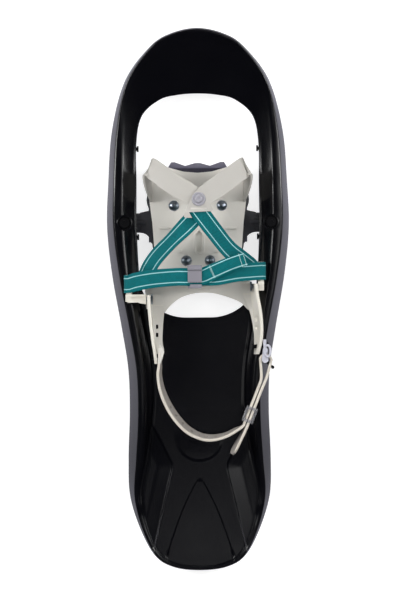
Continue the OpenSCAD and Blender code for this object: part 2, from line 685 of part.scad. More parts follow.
guide_bolt_r = 2.5;
left_guide_y = left_bar[1] - 17.3;
right_guide_y = right_bar[1] - 17.3;
left_wall = -58.6;
right_wall = 67.2;

module guide(bar, wall, s) {
    y0 = bar[1] - 22;
    root = abs(bar[0]) + bar_r - s * wall;
    difference() {
        union() {
            translate([wall, y0, bar_z - 6]) linear_extrude(12) polygon([for (p = s > 0
                ? [[0, 0], [1, 0], [1, 10.2], [0, 10.2]]
                : [[0, -0.8], [-0.3, 0.2], [-0.42, 1.3], [-0.56, 1.1], [-0.9, 1], [-1.02, 2.6], [-1.02, 10.2], [0, 10.2]])
                [p[0] * root, p[1]]]);
            along_y([bar[0], y0 + 8, bar_z], bar_r, 24.2);
        }
        if (s < 0) translate([wall - 0.1 * root, y0 + 2, bar_z + 4.2]) linear_extrude(5)
            polygon([[0, 0], [-0.16 * root, 1], [-0.3 * root, 2.4], [-0.6 * root, 2], [-0.62 * root, 5.6], [0, 6.4]]);
        along_x([s * 40, y0 + 4.7, bar_z], guide_bolt_r + fit, s * 1 > 0 ? 60 : 0.01);
        along_x([-100, y0 + 4.7, bar_z], guide_bolt_r + fit, s < 0 ? 60 : 0.01);
    }
}

module left_guide() color([0.88, 0.87, 0.84]) guide(left_bar, left_wall, -1);
module right_guide() color([0.88, 0.87, 0.84]) guide(right_bar, right_wall, 1);

module guide_bolts() {
    color([0.65, 0.66, 0.7]) {
        along_x([left_bar[0] - bar_r, left_guide_y, bar_z], guide_bolt_r, -left_bar[0] + bar_r - 52);
        along_x([-53.2, left_guide_y, bar_z], 5.6, 2.2);
        along_x([58.6, right_guide_y, bar_z], guide_bolt_r, right_bar[0] + bar_r - 58.6);
        along_x([58, right_guide_y, bar_z], 5.6, 2);
    }
}

// Webbing

function wrap(bar, s, a) = [bar[0] + s * wrap_r * sin(a), bar[1], bar_z - wrap_r * cos(a), 0, -1, 0, web_width];

web_low = over_z - flap_thick / 2 - web_gap - 0.1;

module left_webbing() {
    rows = concat([[4, pivot_y + 13.2, web_low - web_thick - 0.8, 0.72, -0.7, 0, web_width],
        [-11, pivot_y - 2.4, web_low - web_thick - 3.2, 0.72, -0.7, 0.14, web_width],
        [-30, pivot_y - 21.5, web_low - 8, 0.72, -0.7, 0.7, web_width],
        [-46, pivot_y - 37.8, web_low - 18, 0.72, -0.7, 0.6, web_width],
        [-55.5, left_bar[1] + 18.5, bar_z + 7, 0.62, -0.78, 0.3, web_width],
        [-63, left_bar[1] + 7, bar_z - 0.5, 0.35, -0.94, 0.1, web_width],
        [-69.5, left_bar[1] + 1.5, bar_z - 4, 0.05, -1, 0, web_width]],
        [for (a = [0:45:180]) wrap(left_bar, -1, a)],
        [[left_bar[0] + 9, left_bar[1] + 1, bar_z + 8.5, 0, -1, 0, web_width],
            [-50, buckle_p[1] - 2.5, buckle_z - 6, 0, -1, 0, web_width],
            [-26, buckle_p[1], buckle_z - 0.4, 0, -1, 0, web_width],
            [-16, buckle_p[1], buckle_z, 0, -1, 0, web_width],
            [buckle_p[0] - 2, buckle_p[1], buckle_z, 0, -1, 0, web_width]]);
    color([0.07, 0.44, 0.45]) difference() {
        band(rows, web_thick, 3);
        translate([-50, tongue_y + 3.4, 0]) cube([100, 60, 120]);
    }
}

module right_webbing() {
    rows = concat([[-6, pivot_y + 21.5, web_low, 0.78, 0.63, 0, web_width],
        [6.4, pivot_y + 5, web_low, 0.78, 0.63, 0, web_width],
        [17.6, pivot_y - 10, web_low - 3.6, 0.77, 0.64, -0.2, web_width],
        [34, pivot_y - 30.5, web_low - 12, 0.72, 0.69, -0.25, web_width],
        [47.5, right_bar[1] + 13.9, bar_z + 9.4, 0.62, 0.78, -0.05, web_width],
        [57, right_bar[1] + 6.5, bar_z + 2, 0.4, 0.92, 0, web_width],
        [63, right_bar[1] + 1.6, bar_z - 3.6, 0.1, 1, 0, web_width]],
        [for (a = [0:45:180]) let (w = wrap(right_bar, 1, a)) [w[0], w[1], w[2], 0, 1, 0, web_width]],
        [[right_bar[0] - 8, right_bar[1] - 0.5, bar_z + 8, 0, 1, 0, web_width],
            [42, buckle_p[1] + 4, buckle_z - 4.6, 0, 1, 0, web_width],
            [22, buckle_p[1] + 0.5, buckle_z - web_thick - 0.6, 0, 1, 0, web_width],
            [10, buckle_p[1], buckle_z - web_thick - 0.5, 0, 1, 0, web_width],
            [buckle_p[0] - 4, buckle_p[1], buckle_z - web_thick - 0.5, 0, 1, 0, web_width]]);
    color([0.07, 0.44, 0.45]) difference() {
        band(rows, web_thick, 3);
        translate([-50, tongue_y + 3.4, 0]) cube([100, 60, 120]);
    }
}

module pull_tab() {
    rows = [[buckle_p[0] - 1.5, buckle_p[1], buckle_z, 0, 1, 0, web_width],
        [buckle_p[0] + 9, buckle_p[1] + 0.8, buckle_z + 0.2, -0.1, 0.99, 0, web_width - 1],
        [16, buckle_p[1] + 5.6, buckle_z + 1.2, -0.3, 0.95, 0, web_width - 2.5],
        [36, buckle_p[1] + 14.2, buckle_z + 1.6, -0.33, 0.94, 0, web_width - 4],
        [53, buckle_p[1] + 19.8, buckle_z, -0.17, 0.98, 0, web_width - 5]];
    color([0.07, 0.44, 0.45]) band(rows, web_thick, 4);
}

// Ladder-lock: a plate over the webbing, two side walls and two bars under it

module ladder_lock() {
    top = buckle_z + web_gap + 0.1;
    low = buckle_z - 1.5 * web_thick - 0.5 - fit - 0.2;
    span = web_width + 2 * 0.6;
    long = 15.6;
    x0 = buckle_p[0] - long / 2;
    color([0.5, 0.49, 0.52]) {
        difference() {
            translate([x0, buckle_p[1] - span / 2 - 2.2, top]) cube([long, span + 4.4, 2.4]);
            translate([x0 - 1, buckle_p[1] - span / 2 + 2.1, top - 1]) cube([long + 2, 2.2, 5]);
            translate([x0 - 1, buckle_p[1] - span / 2 - 4, top - 0.01]) cube([3.5, 6.4, 5]);
        }
        for (y = [buckle_p[1] - span / 2 - 2.2, buckle_p[1] + span / 2])
            translate([x0, y, low - 2]) cube([long, 2.2, top - low + 2.1]);
        for (x = [x0, x0 + long - 3.5]) translate([x, buckle_p[1] - span / 2 - 1, low - 2])
            cube([3.5, span + 2, 2]);
    }
}

// Heel strap: from the left arm round the heel, through the keeper, round the buckle bar
// and back through the keeper to its pointed end

bar_spot = [74, -67];
keep_dir = unit([0.37, 0.929]);
keep_side = [keep_dir[1], -keep_dir[0]];
keep_p = [56.4, -128.5];
// the strap's middle, off the left pin on the pins' axis
strap_seat = 0.2;
layer = heel_thick / 2 + 0.6;

function heel_row(x, y, dz, lean, out, w) =
    [x, y, pin_z + dz, out[0] * sin(lean), out[1] * sin(lean), cos(lean), w];

function keep_row(t, side, w) =
    let (p = keep_p + keep_dir * t + keep_side * side * layer)
    heel_row(p[0], p[1], 0, 0, [1, 0], w);

heel_rows = concat([
    heel_row(left_pin[0] + strap_seat, left_pin[1] + 10, 0, 0, [-1, 0], heel_band - 3),
    heel_row(left_pin[0] + strap_seat, left_pin[1], 0, 0, [-1, 0], heel_band),
    heel_row(left_pin[0] + strap_seat, left_pin[1] - 11, 0, 2, [-1, 0], heel_band),
    heel_row(-43.8, -83.5, 0, 8, [-1, 0], heel_band), heel_row(-40.5, -98.4, 0, 14, [-1, -0.2], heel_band),
    heel_row(-34, -113.3, 0, 18, [-1, -0.5], heel_band), heel_row(-24.9, -128.3, 0, 24, [-0.8, -0.6], heel_band),
    heel_row(-12.8, -142, 0, 24, [-0.6, -0.8], heel_band), heel_row(0.2, -150.4, 0, 21, [-0.3, -0.95], heel_band),
    heel_row(13.2, -153.8, 0, 19, [0, -1], heel_band), heel_row(28.2, -151.6, 0, 13, [0.3, -0.95], heel_band),
    heel_row(40.6, -145.8, 0, 8, [0.6, -0.8], heel_band)],
    [keep_row(-14.5, -1.1, heel_band), keep_row(-10.4, -1, heel_band), keep_row(0, -1, heel_band),
        keep_row(12, -1, heel_band), keep_row(34, -1, heel_band)],
    [for (a = [-20:40:180]) heel_row(bar_spot[0] - 5.2 * cos(a), bar_spot[1] + 5.2 * sin(a), 0, 0,
        [1, 0], heel_band)],
    [keep_row(46, 2.1, heel_band), keep_row(28, 1.2, heel_band), keep_row(12, 1, heel_band),
        keep_row(0, 1, heel_band), keep_row(-11, 1, heel_band),
        heel_row(47.8, -151, 0, 8, [0.9, -0.4], heel_band - 1), heel_row(36.2, -172.5, 0, 14, [0.9, -0.4], 6)]);

heel_line = open_curve(heel_rows, 3);

module heel_strap() {
    color([0.85, 0.84, 0.78]) difference() {
        band(heel_rows, heel_thick, 3);
        on_pin_axis() translate([0, 0, -10]) cylinder(r = heel_pin_r + fit, h = 40, $fn = 40);
        // row of holes round the heel
        for (i = [16:2:34]) translate([heel_line[i][0], heel_line[i][1], pin_z])
            rotate([0, 90, atan2(heel_line[i + 1][0] - heel_line[i][0], heel_line[i][1] - heel_line[i + 1][1])])
                cylinder(r = 2, h = 14, center = true, $fn = 24);
        peg_place() cylinder(r = 2.4, h = 16, $fn = 32);
    }
}

module peg_place() {
    translate([bar_spot[0], bar_spot[1] - 1, pin_z]) rotate([0, 90, -42]) children();
}

module heel_buckle() {
    half = heel_band / 2 + 0.6;
    foot = [right_pin[0] + 4.4, right_pin[1]];
    color([0.9, 0.9, 0.88]) difference() {
        union() {
            translate([bar_spot[0], bar_spot[1], pin_z - half - 2.6]) cylinder(r = 2.4, h = 2 * half + 5.2, $fn = 40);
            for (z = [pin_z - half - 2.6, pin_z + half]) translate([0, 0, z]) linear_extrude(2.6) hull() {
                translate([bar_spot[0], bar_spot[1]]) circle(r = 3.6, $fn = 32);
                translate([foot[0] + 3.2, -56]) circle(r = 2.6, $fn = 32);
            }
            translate([foot[0] + 1.2, -58.6, pin_z - half - 2.6]) cube([3.2, 14, 2 * half + 5.2]);
        }
        on_pin_axis() translate([0, 0, 90]) cylinder(r = heel_pin_r + fit, h = 60, $fn = 40);
    }
}

module strap_peg() {
    color([0.6, 0.6, 0.62]) peg_place() translate([0, 0, 2.5]) {
        cylinder(r = 1.4, h = 10.5, $fn = 32);
        translate([0, 0, 9]) sphere(r = 1.9, $fn = 32);
    }
}

module arm_rivets() {
    long = norm(right_pin - left_pin);
    color([0.6, 0.6, 0.63]) on_pin_axis() {
        translate([0, 0, -8.7]) cylinder(r = heel_pin_r, h = 11.4, $fn = 40);
        translate([0, 0, -8.7]) cylinder(r = 4, h = 1.6, $fn = 40);
        translate([0, 0, strap_seat + heel_thick / 2 + 0.4]) cylinder(r = 4, h = 1.4, $fn = 40);
        translate([0, 0, long - 6]) cylinder(r = heel_pin_r, h = 17, $fn = 40);
        translate([0, 0, long - 6.6]) cylinder(r = 4, h = 1.4, $fn = 40);
        translate([0, 0, long + 10]) cylinder(r = 4, h = 1.4, $fn = 40);
    }
}

module strap_keeper() {
    inner = 2 * layer + heel_thick + 0.8;
    tall = heel_band + 0.8;
    color([0.75, 0.75, 0.74]) translate([keep_p[0], keep_p[1], pin_z])
        rotate([0, 0, atan2(keep_dir[1], keep_dir[0]) - 90]) difference() {
            cube([inner + 3, 11, tall + 3], center = true);
            cube([inner, 20, tall], center = true);
        }
}

deck();
left_strap_end();
right_strap_end();
strap_bolts();
strap_nuts();
left_traction_rail();
right_traction_rail();
rail_screws();
rail_nuts();
deck_rivets();
pivot_strap();
toe_crampon();
foot_plate();
plate_bolts();
plate_nuts();
left_toe_flap();
right_toe_flap();
flap_rivet();
left_heel_arm();
right_heel_arm();
left_guide();
right_guide();
guide_bolts();
left_webbing();
right_webbing();
pull_tab();
ladder_lock();
heel_strap();
heel_buckle();
strap_peg();
arm_rivets();
strap_keeper();
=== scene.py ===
"""Dresses the snowshoe of model.glb: studio, finishes and fine meshes in the frame of the solids.
"""

import logging
import math
from dataclasses import dataclass
from enum import Enum
from typing import Any, Optional, Sequence

import bmesh
import bpy
import numpy as np
from mathutils import Matrix, Vector


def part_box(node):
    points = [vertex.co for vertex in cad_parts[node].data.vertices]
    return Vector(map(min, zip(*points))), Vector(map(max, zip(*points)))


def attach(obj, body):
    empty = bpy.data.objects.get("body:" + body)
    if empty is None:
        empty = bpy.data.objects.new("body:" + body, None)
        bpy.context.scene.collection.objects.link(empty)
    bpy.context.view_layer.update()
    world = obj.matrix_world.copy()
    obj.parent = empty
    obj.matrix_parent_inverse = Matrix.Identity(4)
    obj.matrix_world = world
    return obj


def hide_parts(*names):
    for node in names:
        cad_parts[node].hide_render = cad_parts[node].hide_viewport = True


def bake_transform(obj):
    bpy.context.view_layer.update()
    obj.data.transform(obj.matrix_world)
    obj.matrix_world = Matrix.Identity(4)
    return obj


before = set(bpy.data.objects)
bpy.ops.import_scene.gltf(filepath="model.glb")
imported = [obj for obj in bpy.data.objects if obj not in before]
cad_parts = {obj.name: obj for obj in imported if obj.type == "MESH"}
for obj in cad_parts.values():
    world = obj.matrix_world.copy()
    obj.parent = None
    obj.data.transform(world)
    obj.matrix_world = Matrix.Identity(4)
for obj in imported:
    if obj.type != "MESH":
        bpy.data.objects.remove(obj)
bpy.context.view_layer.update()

MM = 0.001
# metres within which points merge, and below which an edge has no length
SAME_POINT = 2e-6
NO_LENGTH = 1e-7
# millimetres: points on the axis of a turned piece keep this radius until they merge
AXIS_R = 1e-4
# degrees: edges steeper than these stay sharp on plain meshes, on rounded ones and on bands
SHARP = 38.0
SHARP_ROUNDED = 32.0
SHARP_BAND = 50.0
# degrees: edges steeper than this are rounded
ROUND_FROM = 35.0
SIDES = ((-1, "left"), (1, "right"))
LOG = logging.getLogger("snowshoe")
Rows = Sequence[Sequence[float]]


class Body(Enum):
    """Moving bodies of the snowshoe."""

    DECK = "deck_body"
    BINDING = "binding"
    HEEL = "heel_loop"
    LOCK = "lock"
    KEEPER = "keeper"


class Slot(Enum):
    """Material slots of the record; new pieces hand one to fit, which does not use it."""

    DECK = "deck_plastic"
    ELASTOMER = "elastomer"
    STEEL = "dark_steel"
    RIVET = "rivet_metal"
    PLATE = "plate_plastic"
    ARM = "arm_plastic"
    WEB = "webbing"
    BUCKLE = "buckle_plastic"
    URETHANE = "urethane"
    KEEPER = "keeper_plastic"


def linear(colour: str) -> tuple[float, float, float, float]:
    """Turns an sRGB hex colour into linear values.

    Args:
        colour: six hex digits after a hash.

    Returns:
        Linear red, green, blue and a full alpha.
    """
    parts = [int(colour[i:i + 2], 16) / 255 for i in (1, 3, 5)]
    red, green, blue = (
        c / 12.92 if c <= 0.04045 else ((c + 0.055) / 1.055) ** 2.4 for c in parts)
    return red, green, blue, 1.0


def add_node(tree: bpy.types.NodeTree, kind: str, values: Optional[dict] = None,
             links: Optional[dict] = None, **settings: Any) -> bpy.types.Node:
    """Adds one node with its settings, socket values and links.

    Args:
        tree: tree that takes the node.
        kind: type name of the node.
        values: socket name or number to value.
        links: socket name or number to the output that feeds it.
        settings: properties of the node itself.

    Returns:
        The new node.
    """
    node = tree.nodes.new(kind)
    for name, value in settings.items():
        setattr(node, name, value)
    for socket, value in (values or {}).items():
        node.inputs[socket].default_value = value
    for socket, source in (links or {}).items():
        tree.links.new(source, node.inputs[socket])
    return node


# Finishes


@dataclass(frozen=True)
class Finish:
    """A named surface of two close tones; each kind adds its own patterns to the shader."""

    name: str
    colour: str
    shade: str
    roughness: float = 0.4
    swing: tuple[float, float] = (-0.06, 0.06)
    bump: float = 0.6
    depth_mm: float = 0.02

    def material(self) -> bpy.types.Material:
        """Makes the material, or finds it where it is made already.

        Returns:
            The material.
        """
        made = bpy.data.materials.get(self.name)
        if made is None:
            made = bpy.data.materials.new(self.name)
            made.use_nodes = True
            self.wire(made.node_tree, made.node_tree.nodes["Principled BSDF"])
        return made

    def wire(self, tree: bpy.types.NodeTree, shader: bpy.types.Node) -> None:
        """Adds the nodes of this kind of surface.

        Args:
            tree: node tree of the material.
            shader: its principled shader.
        """
        raise NotImplementedError

    def surface(self, tree: bpy.types.NodeTree, shader: bpy.types.Node,
                tone: bpy.types.NodeSocket, sheen: bpy.types.NodeSocket,
                height: Optional[bpy.types.NodeSocket] = None) -> None:
        """Feeds patterns to the shader's colour, gloss and relief.

        Args:
            tree: node tree of the material.
            shader: its principled shader.
            tone: goes from the shade, at 0, to the colour, at 1.
            sheen: swings the roughness.
            height: raises the surface.
        """
        tint = add_node(tree, "ShaderNodeMix",
                        {"A": linear(self.shade), "B": linear(self.colour)},
                        {"Factor": tone}, data_type="RGBA")
        low, high = self.swing
        gloss = add_node(tree, "ShaderNodeMapRange",
                         {"To Min": self.roughness + low, "To Max": self.roughness + high},
                         {"Value": sheen})
        tree.links.new(tint.outputs["Result"], shader.inputs["Base Color"])
        tree.links.new(gloss.outputs["Result"], shader.inputs["Roughness"])
        if height is not None:
            relief = add_node(tree, "ShaderNodeBump",
                              {"Strength": self.bump, "Distance": self.depth_mm * MM},
                              {"Height": height})
            tree.links.new(relief.outputs["Normal"], shader.inputs["Normal"])

    def overlay(self, tree: bpy.types.NodeTree, shader: bpy.types.Node,
                mask: bpy.types.NodeSocket, colour: str) -> None:
        """Lays another colour over the surface.

        Args:
            tree: node tree of the material.
            shader: its principled shader.
            mask: 1 where the colour shows.
            colour: the colour.
        """
        under = shader.inputs["Base Color"].links[0].from_socket
        tint = add_node(tree, "ShaderNodeMix", {"B": linear(colour)},
                        {"Factor": mask, "A": under}, data_type="RGBA")
        tree.links.new(tint.outputs["Result"], shader.inputs["Base Color"])


@dataclass(frozen=True)
class Moulded(Finish):
    """Injection moulded plastic with a spark-eroded grain.

    The grain breaks up the gloss, and flow in the mould leaves broad, faint changes of tone.
    """

    grain_mm: float = 1.1
    flow_mm: float = 45.0
    ior: float = 1.5
    bleed: float = 0.0
    bleed_mm: float = 1.5
    bleed_tint: tuple[float, float, float] = (1.0, 0.9, 0.75)

    def wire(self, tree: bpy.types.NodeTree, shader: bpy.types.Node) -> None:
        """Adds mould grain, flow marks and the plastic's gloss.

        Args:
            tree: node tree of the material.
            shader: its principled shader.
        """
        shader.inputs["IOR"].default_value = self.ior
        if self.bleed:
            for name, value in (("Weight", self.bleed), ("Scale", self.bleed_mm * MM),
                                ("Radius", self.bleed_tint)):
                shader.inputs["Subsurface " + name].default_value = value
        place = add_node(tree, "ShaderNodeTexCoord").outputs["Object"]
        grain = add_node(tree, "ShaderNodeTexNoise",
                         {"Scale": 1 / (self.grain_mm * MM), "Detail": 2.0}, {"Vector": place})
        flow = add_node(tree, "ShaderNodeTexNoise",
                        {"Scale": 1 / (self.flow_mm * MM), "Detail": 3.0}, {"Vector": place})
        self.surface(tree, shader, flow.outputs["Fac"], flow.outputs["Fac"], grain.outputs["Fac"])


@dataclass(frozen=True)
class Cast(Moulded):
    """Cast urethane, a little clear, with painted light: a pale colour over its top and bottom
    edges is a painted highlight, paler than its faces.
    """

    # pale colour of the painted highlight along both long edges
    edge: str = "#d2cbc0"
    middle_mm: float = 55.4
    near_mm: float = 5.4
    far_mm: float = 7.0

    def wire(self, tree: bpy.types.NodeTree, shader: bpy.types.Node) -> None:
        """Adds the painted highlight along the top and bottom edges to the moulded surface.

        Args:
            tree: node tree of the material.
            shader: its principled shader.
        """
        super().wire(tree, shader)
        place = add_node(tree, "ShaderNodeTexCoord").outputs["Object"]
        axes = add_node(tree, "ShaderNodeSeparateXYZ", links={0: place})
        off = add_node(tree, "ShaderNodeMath", {1: self.middle_mm * MM}, {0: axes.outputs["Z"]},
                       operation="SUBTRACT")
        off = add_node(tree, "ShaderNodeMath", links={0: off.outputs[0]}, operation="ABSOLUTE")
        # 1 on the top and bottom edges, where the painted highlight lies
        rim = add_node(tree, "ShaderNodeMapRange",
                       {"From Min": self.near_mm * MM, "From Max": self.far_mm * MM},
                       {"Value": off.outputs[0]})
        self.overlay(tree, shader, rim.outputs["Result"], self.edge)


@dataclass(frozen=True)
class Metal(Finish):
    """Plated or coated metal: a metal's sheen with rolling streaks and small pits."""

    swing: tuple[float, float] = (-0.08, 0.08)
    bump: float = 0.4
    depth_mm: float = 0.012
    streak_mm: float = 2.5
    streak_run: float = 0.12
    pit_mm: float = 0.7
    metallic: float = 1.0

    def wire(self, tree: bpy.types.NodeTree, shader: bpy.types.Node) -> None:
        """Adds rolling streaks, mottled plating and pits.

        Args:
            tree: node tree of the material.
            shader: its principled shader.
        """
        shader.inputs["Metallic"].default_value = self.metallic
        place = add_node(tree, "ShaderNodeTexCoord").outputs["Object"]
        drawn = add_node(tree, "ShaderNodeMapping", {"Scale": (1.0, self.streak_run, 1.0)},
                         {"Vector": place})
        streak = add_node(tree, "ShaderNodeTexNoise",
                          {"Scale": 1 / (self.streak_mm * MM), "Detail": 4.0},
                          {"Vector": drawn.outputs["Vector"]})
        pits = add_node(tree, "ShaderNodeTexNoise",
                        {"Scale": 1 / (self.pit_mm * MM), "Detail": 2.0}, {"Vector": place})
        self.surface(tree, shader, streak.outputs["Fac"], streak.outputs["Fac"],
                     pits.outputs["Fac"])


@dataclass(frozen=True)
class Woven(Finish):
    """Polyester webbing: ribs across the band, their hollows painted darker as shade, and two pale
    warp lines woven in.

    The real picks are 0.6 mm apart; they are drawn at 2.6 mm, so that they show.
    """

    swing: tuple[float, float] = (-0.1, 0.1)
    bump: float = 0.7
    depth_mm: float = 0.12
    pick_mm: float = 2.6
    warp_mm: float = 2.0
    hollow_shade_share: float = 0.55
    fuzz_share: float = 0.45
    fuzz_per_mm: float = 0.35
    line_mm: float = 6.1
    line_wide_mm: float = 0.85
    line_wander_mm: float = 0.14
    line_colour: str = "#a4d8da"
    sheen_colour: str = "#7fd0cd"
    sheen_weight: float = 0.08
    sheen_roughness: float = 0.4
    specular: float = 0.2

    def wire(self, tree: bpy.types.NodeTree, shader: bpy.types.Node) -> None:
        """Adds picks and warp with painted shade in their hollows, pale lines and a soft sheen.

        Args:
            tree: node tree of the material.
            shader: its principled shader.
        """
        for name, value in (("Sheen Weight", self.sheen_weight),
                            ("Sheen Roughness", self.sheen_roughness),
                            ("Sheen Tint", linear(self.sheen_colour)),
                            ("Specular IOR Level", self.specular)):
            shader.inputs[name].default_value = value
        lay = add_node(tree, "ShaderNodeAttribute", attribute_name="lay").outputs["Vector"]
        axes = add_node(tree, "ShaderNodeSeparateXYZ", links={0: lay})
        waves = []
        for axis, size in (("X", self.warp_mm), ("Y", self.pick_mm)):
            turn = add_node(tree, "ShaderNodeMath", {1: 2 * math.pi / size},
                            {0: axes.outputs[axis]}, operation="MULTIPLY")
            waves.append(add_node(tree, "ShaderNodeMath", links={0: turn.outputs[0]},
                                  operation="SINE").outputs[0])
        cloth = add_node(tree, "ShaderNodeMath", links={0: waves[0], 1: waves[1]},
                         operation="MULTIPLY")
        fuzz = add_node(tree, "ShaderNodeTexNoise", {"Scale": self.fuzz_per_mm, "Detail": 3.0},
                        {"Vector": lay})
        lift = add_node(tree, "ShaderNodeMapRange", {"From Min": -1.0, "From Max": 1.0},
                        {"Value": cloth.outputs[0]})
        # the weave's low points take the darker tone, painted shade in its hollows; the fuzz adds
        # the yarn's own mottle
        tone = add_node(tree, "ShaderNodeMath", {1: self.hollow_shade_share},
                        {0: lift.outputs["Result"]}, operation="MULTIPLY")
        tone = add_node(tree, "ShaderNodeMath", {1: self.fuzz_share},
                        {0: fuzz.outputs["Fac"], 2: tone.outputs[0]}, operation="MULTIPLY_ADD")
        self.surface(tree, shader, tone.outputs[0], fuzz.outputs["Fac"], lift.outputs["Result"])
        # the pale lines wander by a thread, as woven lines do
        off = add_node(tree, "ShaderNodeMath", {1: self.line_wander_mm}, {0: waves[1]},
                       operation="MULTIPLY")
        side = add_node(tree, "ShaderNodeMath", links={0: axes.outputs["X"]}, operation="ABSOLUTE")
        side = add_node(tree, "ShaderNodeMath", links={0: side.outputs[0], 1: off.outputs[0]},
                        operation="ADD")
        line = add_node(tree, "ShaderNodeMath", {1: self.line_mm, 2: self.line_wide_mm / 2},
                        {0: side.outputs[0]}, operation="COMPARE")
        self.overlay(tree, shader, line.outputs[0], self.line_colour)


@dataclass(frozen=True)
class Clear(Finish):
    """Soft clear plastic, a little cloudy, as an extruded keeper is."""

    swing: tuple[float, float] = (-0.05, 0.1)
    through: float = 0.75
    cloud_mm: float = 6.0
    ior: float = 1.5

    def wire(self, tree: bpy.types.NodeTree, shader: bpy.types.Node) -> None:
        """Adds cloudiness to a see-through plastic.

        Args:
            tree: node tree of the material.
            shader: its principled shader.
        """
        shader.inputs["IOR"].default_value = self.ior
        shader.inputs["Transmission Weight"].default_value = self.through
        place = add_node(tree, "ShaderNodeTexCoord").outputs["Object"]
        cloud = add_node(tree, "ShaderNodeTexNoise",
                         {"Scale": 1 / (self.cloud_mm * MM), "Detail": 3.0}, {"Vector": place})
        self.surface(tree, shader, cloud.outputs["Fac"], cloud.outputs["Fac"])


# Nylon deck, black and satin: bright only where it mirrors the table at a low angle
DECK_BLACK = Moulded("moulded_nylon_black", "#07070b", "#040407", 0.19, depth_mm=0.008)
# Thermoplastic rubber of the cross strap: matt charcoal
RUBBER = Moulded("moulded_rubber_charcoal", "#26262b", "#1f1f24", 0.45, grain_mm=0.8)
# Unfilled nylon of the plate: warm pale grey that lets a little light in
PLATE_GREY = Moulded("moulded_nylon_pale_grey", "#d5d2cb", "#cdcac3", 0.4, bleed=0.08)
# The plate's nylon again on the toe flaps, darkened as painted shade for the lesser light that
# falls on them
FLAP_GREY_PAINTED_SHADE = Moulded("moulded_nylon_flap_grey", "#bdbab4", "#b5b2ac", 0.4, bleed=0.08)
# Nylon of arms and guides: a warmer cream
ARM_CREAM = Moulded("moulded_nylon_cream", "#ddd9cf", "#d5d1c6", 0.42, bleed=0.08)
# Cast urethane strap: cream, rubbery, with a soft shine; its faces are greyed as painted shade, its
# long edges paled as a painted highlight
STRAP_CREAM = Cast("cast_urethane_cream", "#9b958f", "#8d8883", 0.45, grain_mm=0.7, bleed=0.15)
# Acetal of the ladder-lock: mid grey, finely eroded
LOCK_GREY = Moulded("moulded_acetal_grey", "#8a8890", "#807e86", 0.38, grain_mm=0.7)
# Polyester webbing: deep teal, matt, with ribs whose hollows are painted darker as shade, and two
# pale lines
WEB_TEAL = Woven("woven_polyester_teal", "#0a7c80", "#033f47", 0.8)
# Spun polyester thread of the stitches: pale and matt
THREAD = Moulded("spun_thread_pale", "#cdeae4", "#b9dcd6", 0.75, grain_mm=0.4)
# Steel in a dark electro-coat: worn grey along the rolling
COATED = Metal("steel_dark_coated", "#54525f", "#454350", 0.45, metallic=0.7)
# Steel plated with bright zinc, faintly blue
ZINC = Metal("steel_zinc_plated", "#b3bcc8", "#8d97a5", 0.3)
# Blackened steel of bolts, rivets and peg: near black with a dull sheen
BLACKENED = Metal("steel_blackened", "#17171a", "#0f0f12", 0.38, metallic=0.7)
# Turned aluminium of the flap rivet, satin
RIVET_GREY = Metal("aluminium_turned_satin", "#b9b7bf", "#a7a5ad", 0.5, metallic=0.35)
# Clear vinyl of the keeper: the strap shows through it
KEEPER_CLEAR = Clear("extruded_vinyl_clear", "#e4e4e8", "#d8d8dc", 0.12, through=0.85)
# Unfilled nylon of the buckle: milky white, a little clear
BUCKLE_WHITE = Clear("moulded_nylon_milky", "#dedee8", "#d0d0dc", 0.3, through=0.25)


# Mesh tools


def unit(rows: np.ndarray) -> np.ndarray:
    """Scales each row to length one."""
    return rows / np.maximum(np.linalg.norm(rows, axis=-1, keepdims=True), 1e-9)


def ramp(distance: np.ndarray, width: float) -> np.ndarray:
    """Eases from 0 to 1 across a width centred on 0."""
    t = np.clip(distance / width + 0.5, 0, 1)
    return t * t * (3 - 2 * t)


def run_along(points: np.ndarray) -> np.ndarray:
    """Gives the length along a line of points at each of them."""
    return np.concatenate([[0], np.cumsum(np.linalg.norm(np.diff(points, axis=0), axis=1))])


def mirrored(half: Rows) -> list[list[float]]:
    """Closes half of an outline with its mirror image across the deck's middle."""
    return [*half, *([-x, y] for x, y in half[-2:0:-1])]


def inside(points: np.ndarray, outline: Rows) -> np.ndarray:
    """Measures how far points lie inside an outline.

    Args:
        points: x and y of each point.
        outline: corners of the outline.

    Returns:
        Distance to the outline, positive inside.
    """
    a = np.asarray(outline, float)
    b = np.roll(a, -1, 0)
    edge = b - a
    rel = points[:, None] - a[None]
    t = np.clip((rel * edge).sum(-1) / (edge * edge).sum(-1), 0, 1)
    far = np.linalg.norm(rel - t[..., None] * edge, axis=-1).min(1)
    up = (a[None, :, 1] <= points[:, 1:2]) != (b[None, :, 1] <= points[:, 1:2])
    with np.errstate(divide="ignore", invalid="ignore"):
        x = a[:, 0] + (points[:, 1:2] - a[:, 1]) * edge[:, 0] / edge[:, 1]
    odd = (up & (points[:, 0:1] < x)).sum(1) % 2
    return np.where(odd == 1, far, -far)


def curve_through(rows: Rows, steps: int, closed: bool = False) -> np.ndarray:
    """Runs a smooth curve through rows of values.

    Args:
        rows: values at each knot.
        steps: points from one knot to the next.
        closed: whether the last knot leads back to the first.

    Returns:
        The values along the curve.
    """
    knots = np.asarray(rows, float)
    if closed:
        a, b, c, d = (np.roll(knots, k, 0) for k in (1, 0, -1, -2))
    else:
        more = np.vstack([2 * knots[0] - knots[1], knots, 2 * knots[-1] - knots[-2]])
        a, b, c, d = more[:-3], more[1:-2], more[2:-1], more[3:]
    t = (np.arange(steps) / steps)[None, :, None]
    a, b, c, d = (k[:, None, :] for k in (a, b, c, d))
    line = 0.5 * (2 * b + (c - a) * t + (2 * a - 5 * b + 4 * c - d) * t * t
                  + (3 * b - a - 3 * c + d) * t ** 3)
    line = line.reshape(-1, knots.shape[1])
    return line if closed else np.vstack([line, knots[-1:]])


